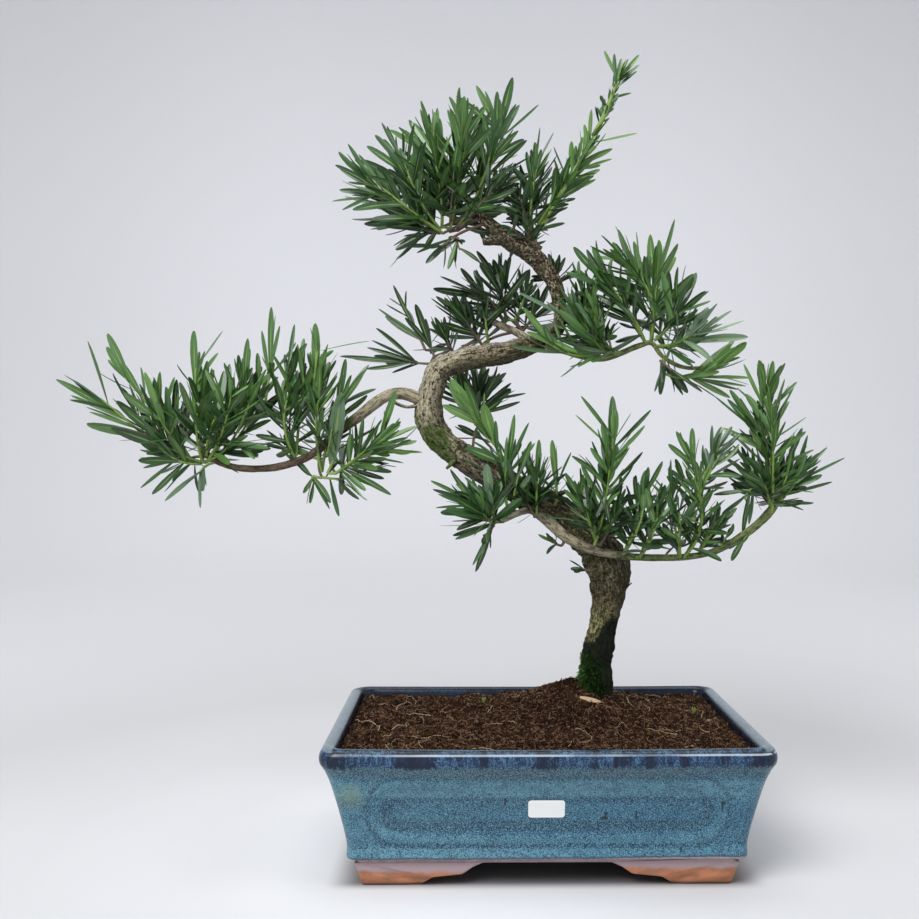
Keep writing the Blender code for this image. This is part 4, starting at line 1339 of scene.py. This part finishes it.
class Blades:
    """Places along and across every leaf, worked out for all of them at once."""

    def __init__(self, leaves, stations):
        run = np.array(stations)
        columns = [np.array([leaf[i] for leaf in leaves]) for i in range(8)]
        place, heading, self.normal = columns[:3]
        size, width, curl, sway, point = (column[:, None, None] for column in columns[3:])
        self.side = np.cross(heading, self.normal)
        blunt = np.minimum(1.0, 0.26 + 1.35 * run) * np.sqrt(np.maximum(0.0, 1.0 - run**6))
        sharp = np.sin(math.pi * np.minimum(0.985, 0.10 + 0.90 * run)) ** 0.85
        breadth = sharp[None, :, None] + (blunt - sharp)[None, :, None] * point
        breadth[:, -1] = 0.08
        self.half = width * breadth / 2.0
        run = run[None, :, None]
        spine = place[:, None] + heading[:, None] * size * (run - (curl**2 + sway**2) * run**3 / 6.0)
        spine = spine + self.normal[:, None] * size * curl * run**2 / 2.0
        self.spine = spine + self.side[:, None] * size * sway * run**2 / 2.0
        self.count = len(leaves)


def strip_mesh(name, corners, quads):
    """Rows of corners, one row for each station of each leaf, joined into one mesh."""
    leaves, stations, columns = corners.shape[:3]
    rows = np.arange(stations - 1)[:, None] * columns
    quads = np.concatenate([rows + quad for quad in quads])
    starts = np.arange(leaves)[:, None, None] * stations * columns
    mesh = bpy.data.meshes.new(name)
    faces = (starts + quads[None]).reshape(-1, 4)
    mesh.from_pydata(corners.reshape(-1, 3).tolist(), [], faces.tolist())
    mesh.shade_smooth()
    return mesh


def leaf_mesh(name, leaves, fold):
    """Every leaf is two narrow halves that meet at its midrib, each smooth by itself."""
    blades = Blades(leaves, LEAF_STATIONS)
    lift = blades.normal[:, None] * blades.half * fold
    left = blades.spine - blades.side[:, None] * blades.half + lift
    right = blades.spine + blades.side[:, None] * blades.half + lift
    corners = np.stack((left, blades.spine, blades.spine, right), axis=2)
    return strip_mesh(name, corners, ((0, 1, 5, 4), (2, 3, 7, 6)))


def moss_mesh(name, tufts):
    """Flat blades of a few faces each."""
    blades = Blades(tufts, MOSS_STATIONS)
    left = blades.spine - blades.side[:, None] * blades.half
    right = blades.spine + blades.side[:, None] * blades.half
    return strip_mesh(name, np.stack((left, right), axis=2), ((0, 1, 3, 2),))


def rib_mesh(name, leaves, fold):
    """A narrow raised ridge along the upper side of every leaf."""
    blades = Blades(leaves, RIB_STATIONS)
    half = blades.half * RIB_SHARE
    lift = blades.normal[:, None] * (half * fold + 0.00006)
    left = blades.spine - blades.side[:, None] * half + lift
    right = blades.spine + blades.side[:, None] * half + lift
    crest = blades.spine + blades.normal[:, None] * (half * fold + 0.00016)
    corners = np.stack((left, crest, right), axis=2)
    return strip_mesh(name, corners, ((0, 1, 4, 3), (1, 2, 5, 4)))


def stem_mesh(name, stems, resolution):
    """Tapering round stems, made as one curve and then turned into a mesh."""
    curve = bpy.data.curves.new(name, "CURVE")
    curve.dimensions = "3D"
    curve.bevel_depth = 1.0
    curve.bevel_resolution = resolution
    curve.use_fill_caps = True
    for points, thick, thin in stems:
        spline = curve.splines.new("POLY")
        spline.points.add(len(points) - 1)
        for i, (point, place) in enumerate(zip(spline.points, points)):
            point.co = (*place, 1.0)
            point.radius = thick + (thin - thick) * i / (len(points) - 1)
    obj = bpy.data.objects.new(name, curve)
    bpy.context.scene.collection.objects.link(obj)
    bpy.context.view_layer.update()
    depsgraph = bpy.context.evaluated_depsgraph_get()
    mesh = bpy.data.meshes.new_from_object(obj.evaluated_get(depsgraph))
    bpy.data.objects.remove(obj, do_unlink=True)
    bm = bmesh.new()
    bm.from_mesh(mesh)
    bmesh.ops.remove_doubles(bm, verts=bm.verts, dist=1e-6)
    return mesh_of(bm, name, 60)


class BONSAI_OT_pot(bpy.types.Operator):
    """Make the glazed pot, with its rolled lip and moulded panels"""

    bl_idname = "bonsai.pot"
    bl_label = "Pot"

    def execute(self, context):
        pot = context.scene.bonsai_pot
        wall = smooth_through(WALL_OUTSIDE, WALL_STEPS)
        lip = smooth_through(LIP, LIP_STEPS)
        rings = []
        for inset, height in [*wall, *lip, *smooth_through(WALL_INSIDE, 2)]:
            outside = inset < 20.0 and (inset, height) not in WALL_INSIDE
            rings.append(self.ring(inset * MM, height * MM, outside, pot))
        mesh = mesh_of(pulled(rings), "pot_glazed", 50)
        piece("pot_glazed", mesh, glaze_paint(pot), "glaze", "pot")
        return {"FINISHED"}

    def ring(self, inset, height, outside, pot):
        """One ring of the pot, with the panel pressed in and the rim's slight bow."""
        ring = []
        high = ease(height, 0.060, POT_HIGH.z)
        for point in outline(inset):
            x, y = point
            middle = math.cos(min(1.0, abs(x) / HALF_WIDTH) * math.pi / 2)
            if outside and abs(y) > HALF_DEPTH - inset - 0.0005:
                y -= math.copysign(pot.panel_depth * panel_share(x, height), y)
            y += math.copysign(RIM_BOW * middle * high, y) * min(1.0, abs(y) / HALF_DEPTH)
            ring.append(POT_MIDDLE + Vector((x, y, height - RIM_SAG * middle * high)))
        return ring


class BONSAI_OT_feet(bpy.types.Operator):
    """Round the edges of the four bracket feet"""

    bl_idname = "bonsai.feet"
    bl_label = "Feet"

    def execute(self, context):
        pot = context.scene.bonsai_pot
        clay = clay_paint(pot)
        for node in FEET:
            bm = bmesh.new()
            bm.from_mesh(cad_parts[node].data)
            bmesh.ops.remove_doubles(bm, verts=bm.verts, dist=1e-6)
            bmesh.ops.dissolve_limit(bm, angle_limit=0.02, verts=bm.verts, edges=bm.edges)
            sharp = [
                edge
                for edge in bm.edges
                if edge.calc_face_angle(0.0) > 0.5 and min(v.co.z for v in edge.verts) < 0.0155
            ]
            bmesh.ops.bevel(
                bm, geom=sharp, offset=pot.foot_round, affect="EDGES", segments=3, profile=0.5, material=-1
            )
            mesh = mesh_of(bm, node + "_clay", 40)
            piece(node + "_clay", mesh, clay, "bare_clay", node)
        return {"FINISHED"}


class BONSAI_OT_soil(bpy.types.Operator):
    """Make the uneven soil, its crumbs and its fibres"""

    bl_idname = "bonsai.soil"
    bl_label = "Soil"

    def execute(self, context):
        soil = context.scene.bonsai_soil
        rng = random.Random(5)
        edge = outline(0.0122)
        rings = [[POT_MIDDLE + Vector((*p, SOIL_EDGE - 0.012)) for p in edge]]
        for step in range(SOIL_RINGS):
            share = 1.0 - step / SOIL_RINGS
            ring = []
            for point in edge:
                x, y = MOUND_CENTRE + (point - MOUND_CENTRE) * share
                ring.append(POT_MIDDLE + Vector((x, y, soil_height(x, y))))
            rings.append(ring)
        mesh = mesh_of(pulled(rings), "soil_surface")
        piece("soil_surface", mesh, soil_paint(soil), "soil", "soil")
        crumbs = self.crumbs(rng, soil.crumbs)
        piece("soil_crumbs", crumbs, matt_paint("crumbs", soil.brown), "soil")
        share = soil.fibres // 3
        kinds = (
            ("soil_fibres", share, (0.9, 3.0), (0.12, 0.28), 3, soil.brown),
            ("soil_shreds", share, (0.9, 3.0), (0.14, 0.34), 3, soil.dark),
            ("soil_flecks", share, (1.0, 4.0), (0.10, 0.24), 3, soil.tan),
            ("soil_roots", soil.roots, (8.0, 26.0), (0.13, 0.22), 12, soil.straw),
        )
        for name, count, lengths, widths, steps, colour in kinds:
            stems = [self.fibre(rng, lengths, widths, steps) for _ in range(count)]
            piece(name, stem_mesh(name, stems, 0), matt_paint(name, colour), "soil")
        self.litter(soil)
        return {"FINISHED"}

    def litter(self, soil):
        """A dry fallen leaf at the foot of the trunk and two tiny sprouts."""
        spot = Vector((0.0300, 0.0060))
        place = POT_MIDDLE + Vector((*spot, soil_height(*spot) + 0.0012))
        end = spot + Vector((0.0270, 0.0010))
        heading = POT_MIDDLE + Vector((*end, soil_height(*end) + 0.0016)) - place
        face = Vector((0.05, -0.75, 0.65))
        face = (face - heading.normalized() * face.dot(heading.normalized())).normalized()
        dry = [(place, heading.normalized(), face, heading.length, 0.0044, -0.20, 0.15, 0.1)]
        dry_mesh = leaf_mesh("dry_leaf", dry, 0.3)
        piece("dry_leaf", dry_mesh, plain_paint("dry_leaf", (0.42, 0.29, 0.18), 0.8), "soil")
        sprouts = []
        for x, y in ((-0.0407, 0.0530), (0.1194, 0.0280)):
            place = POT_MIDDLE + Vector((x, y, soil_height(x, y) - 0.0005))
            for turn in range(5):
                away = Quaternion(UP, 1.3 * turn + x * 40.0) @ Vector((0.6, 0.0, 1.0)).normalized()
                normal = away.cross(UP).cross(away).normalized()
                sprouts.append((place, away, normal, 0.0055, 0.0020, 0.4, 0.0, 0.6))
        sprout_mesh = leaf_mesh("sprouts", sprouts, 0.3)
        piece("sprouts", sprout_mesh, plain_paint("sprouts", (0.16, 0.24, 0.04), 0.6), "soil")

    def spot(self, rng):
        """A random place on the soil, from the pot's centre."""
        x = rng.uniform(-1.0, 1.0) * (HALF_WIDTH - 0.014)
        y = rng.uniform(-1.0, 1.0) * (HALF_DEPTH - 0.014)
        return x, y

    def crumbs(self, rng, count):
        """Uneven lumps, half sunk."""
        bm = bmesh.new()
        for _ in range(count):
            x, y = self.spot(rng)
            size = rng.uniform(0.0003, 0.0010)
            made = bmesh.ops.create_icosphere(bm, subdivisions=1, radius=size)["verts"]
            middle = POT_MIDDLE + Vector((x, y, soil_height(x, y) + size * 0.2))
            squash = Vector((rng.uniform(0.7, 1.5), rng.uniform(0.7, 1.5), rng.uniform(0.5, 0.9)))
            for vert in made:
                vert.co = middle + vert.co * squash * rng.uniform(0.75, 1.2)
        return mesh_of(bm, "soil_crumbs", 30)

    def fibre(self, rng, lengths, widths, steps):
        """A curved fibre lying on the soil; lengths and widths are ranges in millimetres."""
        x, y = self.spot(rng)
        turn = rng.uniform(0.0, 2.0 * math.pi)
        bend = rng.gauss(0.0, 1.1)
        length = rng.uniform(*lengths) * MM
        height = 0.0012 * rng.random()
        points = []
        for i in range(steps + 1):
            lift = 0.0002 + height * math.sin(math.pi * i / steps)
            points.append(POT_MIDDLE + Vector((x, y, soil_height(x, y) + lift)))
            x += math.cos(turn) * length / steps
            y += math.sin(turn) * length / steps
            x = max(-HALF_WIDTH + 0.0135, min(HALF_WIDTH - 0.0135, x))
            y = max(-HALF_DEPTH + 0.0135, min(HALF_DEPTH - 0.0135, y))
            turn += bend / steps + rng.gauss(0.0, 0.09)
        thick = rng.uniform(*widths) * MM
        return points, thick, thick * 0.5


class BONSAI_OT_label(bpy.types.Operator):
    """Stick the small blank label on the front of the pot"""

    bl_idname = "bonsai.label"
    bl_label = "Blank label"

    def execute(self, context):
        pot = context.scene.bonsai_pot
        middle = Vector((-0.0012, 0.0, 0.0548))
        bm = bmesh.new()
        bmesh.ops.create_grid(bm, x_segments=12, y_segments=8, size=0.5)
        corners = [v for v in bm.verts if abs(v.co.x) > 0.49 and abs(v.co.y) > 0.49]
        for vert in corners:
            vert.co *= 0.94
        for vert in bm.verts:
            x = middle.x + vert.co.x * pot.label_width
            z = middle.z + vert.co.y * pot.label_height
            depth = HALF_DEPTH - wall_inset(z) - pot.panel_depth
            high = ease(z, 0.060, POT_HIGH.z)
            depth += RIM_BOW * high * math.cos(abs(x) / HALF_WIDTH * math.pi / 2)
            vert.co = POT_MIDDLE + Vector((x, -depth - 0.0002, z))
        bmesh.ops.solidify(bm, geom=bm.faces[:], thickness=0.0002)
        mesh = mesh_of(bm, "blank_label", 30)
        piece("blank_label", mesh, plain_paint("label_paper", pot.label, 0.5), "glaze")
        return {"FINISHED"}


class BONSAI_OT_trunk(bpy.types.Operator):
    """Make the trunk and its stubs with bark in relief"""

    bl_idname = "bonsai.trunk"
    bl_label = "Trunk"

    def execute(self, context):
        bark = context.scene.bonsai_bark
        rng = random.Random(3)
        paths = [limb_path(points, 1.0) for points in (TRUNK, *(points for start, points in STUBS))]
        starts = [0.0, *(start for start, points in STUBS)]
        lengths = [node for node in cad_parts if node.startswith("trunk_")]
        mesh = limb_mesh("trunk_bark", paths, 56, bark_relief(bark.relief), rng, starts)
        piece("trunk_bark", mesh, bark_paint(bark), "bark", *sorted(lengths))
        for name, moss in MOSS.items():
            blades = self.moss(mesh, moss, rng)
            piece(name, moss_mesh(name, blades), matt_paint(name, moss["colour"]), "bark")
        return {"FINISHED"}

    def moss(self, mesh, moss, rng):
        """Short blades on the bark of one mossy place, thinner towards its edges."""
        middle = at(*moss["middle"])
        places = []
        for face in mesh.polygons:
            away = face.center - middle
            away.z /= moss["stretch"]
            share = 1.0 - away.length / moss["reach"] - 0.6 * max(0.0, face.normal.x + 0.1)
            share += 0.5 * noise.noise(face.center * 140.0)
            if share > 0.0:
                places.append((face.center.copy(), face.normal.copy(), min(1.0, 1.5 * share)))
        blades = []
        while len(blades) < moss["count"]:
            place, normal, share = rng.choice(places)
            if rng.random() > share:
                continue
            stray = Vector((rng.gauss(0.0, 1.0), rng.gauss(0.0, 1.0), rng.gauss(0.0, 1.0)))
            heading = (normal + UP * rng.uniform(0.0, 0.8) + stray * 0.40).normalized()
            facing = stray.cross(heading).normalized()
            size = moss["length"] * rng.uniform(0.5, 1.2) * (0.4 + 0.6 * share)
            spread = normal.orthogonal().normalized() * rng.uniform(-0.0004, 0.0004)
            start = place + spread - normal * 0.0003
            blades.append((start, heading, facing, size, 0.26 * size, 0.3, 0.0, 0.2))
        return blades


class BONSAI_OT_boughs(bpy.types.Operator):
    """Make the boughs with finer bark"""

    bl_idname = "bonsai.boughs"
    bl_label = "Boughs"

    def execute(self, context):
        bark = context.scene.bonsai_bark
        rng = random.Random(4)
        paths = [limb_path(points) for points in BOUGHS.values()]
        nodes = sorted(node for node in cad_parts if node.startswith("bough_"))
        mesh = limb_mesh("bough_bark", paths, 16, bark_relief(bark.relief * 0.8), rng)
        piece("bough_bark", mesh, bough_paint(bark), "twig", *nodes)
        return {"FINISHED"}


class BONSAI_OT_leaves(bpy.types.Operator):
    """Grow twigs and leaves in place of every mass, by the seeded rule"""

    bl_idname = "bonsai.leaves"
    bl_label = "Twigs and leaves"

    def execute(self, context):
        leaf = context.scene.bonsai_leaf
        bark = context.scene.bonsai_bark
        limbs = [limb_path(points) for points in (TRUNK[5:], *BOUGHS.values())]
        crown = Crown(leaf, limbs)
        for name, sizes in SPRAYS.items():
            crown.mass(*sizes)
            crown.reach(OUTER_LEAVES.get(name, ()), *sizes[2:4])
        old = plain_paint("old_twig", bark.old_twig, 0.75)
        piece("twigs_brown", stem_mesh("twigs_brown", crown.old, 1), old, "twig")
        green = plain_paint("green_twig", bark.green_twig, 0.55)
        piece("stems_green", stem_mesh("stems_green", crown.green, 1), green, "twig")
        for tint in TINTS:
            mesh = leaf_mesh("leaves_" + tint, crown.leaves[tint], leaf.fold)
            paint = plain_paint("leaf_" + tint, getattr(leaf, tint), 0.36)
            masses = ["leaves_" + name for name, sizes in SPRAYS.items() if sizes[0] == tint]
            piece("leaves_" + tint + "_tint", mesh, paint, "leaf", *masses)
        broad = [one for found in crown.leaves.values() for one in found if one[4] > RIB_LEAST]
        ribs = rib_mesh("leaf_midribs", broad, leaf.fold)
        piece("leaf_midribs", ribs, plain_paint("midrib", leaf.rib, 0.5), "leaf")
        print("leaves", sum(len(found) for found in crown.leaves.values()), len(broad))
        return {"FINISHED"}


class BONSAI_OT_stage(bpy.types.Operator):
    """Set up the pale floor, the soft lights and the camera"""

    bl_idname = "bonsai.stage"
    bl_label = "Stage"

    def execute(self, context):
        stage = context.scene.bonsai_stage
        scene = context.scene
        self.cove(stage)
        self.light("key_light", (-0.9, -1.5, 1.9), 1.2, stage.key)
        self.light("right_light", (1.6, -0.7, 1.5), 1.0, stage.fill * 0.75)
        self.light("top_light", (0.1, 0.3, 2.2), 1.5, stage.fill * 1.2)
        world = bpy.data.worlds.new("pale_room")
        world.use_nodes = True
        world.node_tree.nodes["Background"].inputs["Color"].default_value = (0.95, 0.965, 1.0, 1.0)
        world.node_tree.nodes["Background"].inputs["Strength"].default_value = 0.48
        scene.world = world
        scene.view_settings.view_transform = "Standard"
        camera = bpy.data.objects.new("camera", bpy.data.cameras.new("camera"))
        scene.collection.objects.link(camera)
        camera.location = at(-49.3, -810.0, 283.2)
        camera.rotation_euler = (math.pi / 2, 0.0, -0.010)
        camera.data.sensor_width = 36.0
        camera.data.lens = 43.09
        camera.data.shift_x = -0.02666
        camera.data.clip_start = 0.05
        scene.camera = camera
        return {"FINISHED"}

    def cove(self, stage):
        """A round floor that sweeps up into a wall, open at the top."""
        profile = [(3.0, 2.4), (3.0, 0.9)]
        for step in range(1, 9):
            turn = math.pi / 2 * step / 8
            profile.append((3.0 - 0.9 * (1.0 - math.cos(turn)), 0.9 - 0.9 * math.sin(turn)))
        rings = []
        for reach, height in [*profile, (0.02, 0.0)]:
            turns = [2.0 * math.pi * k / 96 for k in range(96)]
            rings.append([Vector((reach * math.cos(a), reach * math.sin(a), height)) for a in turns])
        bm = pulled(rings, close=False)
        inner = [edge for edge in bm.edges if edge.is_boundary and edge.verts[0].co.z < 0.01]
        bmesh.ops.holes_fill(bm, edges=inner, sides=0)
        mesh = bpy.data.meshes.new("cove")
        bm.to_mesh(mesh)
        bm.free()
        mesh.shade_smooth()
        paint = Paint("cove", 0.9)
        x, y, z = (paint.part(paint.place(), axis) for axis in "XYZ")
        reach = paint.maths("SQRT", x * x + y * y) + z
        shades = [(at_share, tuple(tone * part for part in (0.940, 0.948, 0.978))) for at_share, tone in COVE_TONES]
        body = paint.ramp(reach * (1.0 / COVE_LENGTH), shades)
        # Painted shade: the backdrop darkens towards its left and right.
        painted_side_shade = paint.step(paint.maths("ABSOLUTE", x), 0.5, 1.7) * 0.24
        body = paint.mix(painted_side_shade, body, (0.25, 0.25, 0.26))
        # Painted shadow on the floor right under the pot.
        beside = paint.step(paint.maths("ABSOLUTE", x - POT_MIDDLE.x), 0.150, 0.125)
        behind = paint.step(paint.maths("ABSOLUTE", y - POT_MIDDLE.y), 0.088, 0.072)
        body = paint.mix(beside * behind * 0.8, body, (0.06, 0.055, 0.055))
        paint.set("Base Color", body)
        mesh.materials.append(paint.material)
        obj = bpy.data.objects.new("cove", mesh)
        bpy.context.scene.collection.objects.link(obj)

    def light(self, name, place, size, power):
        """A square soft light that looks at the middle of the tree."""
        lamp = bpy.data.lights.new(name, "AREA")
        lamp.size = size
        lamp.energy = power
        obj = bpy.data.objects.new(name, lamp)
        obj.location = place
        obj.rotation_euler = (Vector((0.0, 0.0, 0.25)) - Vector(place)).to_track_quat("-Z", "Y").to_euler()
        bpy.context.scene.collection.objects.link(obj)


class BONSAI_PT_panel(bpy.types.Panel):
    """Lists the steps in the order that they run"""

    bl_idname = "BONSAI_PT_panel"
    bl_label = "Buddhist Pine Bonsai"
    bl_space_type = "VIEW_3D"
    bl_region_type = "UI"
    bl_category = "Bonsai"

    def draw(self, context):
        for step in OPERATORS:
            self.layout.operator(step.bl_idname)
        for group in ("pot", "soil", "bark", "leaf", "stage"):
            settings = getattr(context.scene, "bonsai_" + group)
            box = self.layout.box()
            for name in settings.__annotations__:
                box.prop(settings, name)


GROUPS = {
    "pot": PotSettings,
    "soil": SoilSettings,
    "bark": BarkSettings,
    "leaf": LeafSettings,
    "stage": StageSettings,
}
OPERATORS = (
    BONSAI_OT_pot,
    BONSAI_OT_feet,
    BONSAI_OT_soil,
    BONSAI_OT_label,
    BONSAI_OT_trunk,
    BONSAI_OT_boughs,
    BONSAI_OT_leaves,
    BONSAI_OT_stage,
)
CLASSES = (*GROUPS.values(), *OPERATORS, BONSAI_PT_panel)


def register():
    for found in CLASSES:
        bpy.utils.register_class(found)
    for name, group in GROUPS.items():
        setattr(bpy.types.Scene, "bonsai_" + name, bpy.props.PointerProperty(type=group))


def unregister():
    for name in GROUPS:
        delattr(bpy.types.Scene, "bonsai_" + name)
    for found in reversed(CLASSES):
        bpy.utils.unregister_class(found)


def main():
    register()
    bpy.ops.bonsai.pot()
    bpy.ops.bonsai.feet()
    bpy.ops.bonsai.soil()
    bpy.ops.bonsai.label()
    bpy.ops.bonsai.trunk()
    bpy.ops.bonsai.boughs()
    bpy.ops.bonsai.leaves()
    bpy.ops.bonsai.stage()


if __name__ == "__main__":
    main()
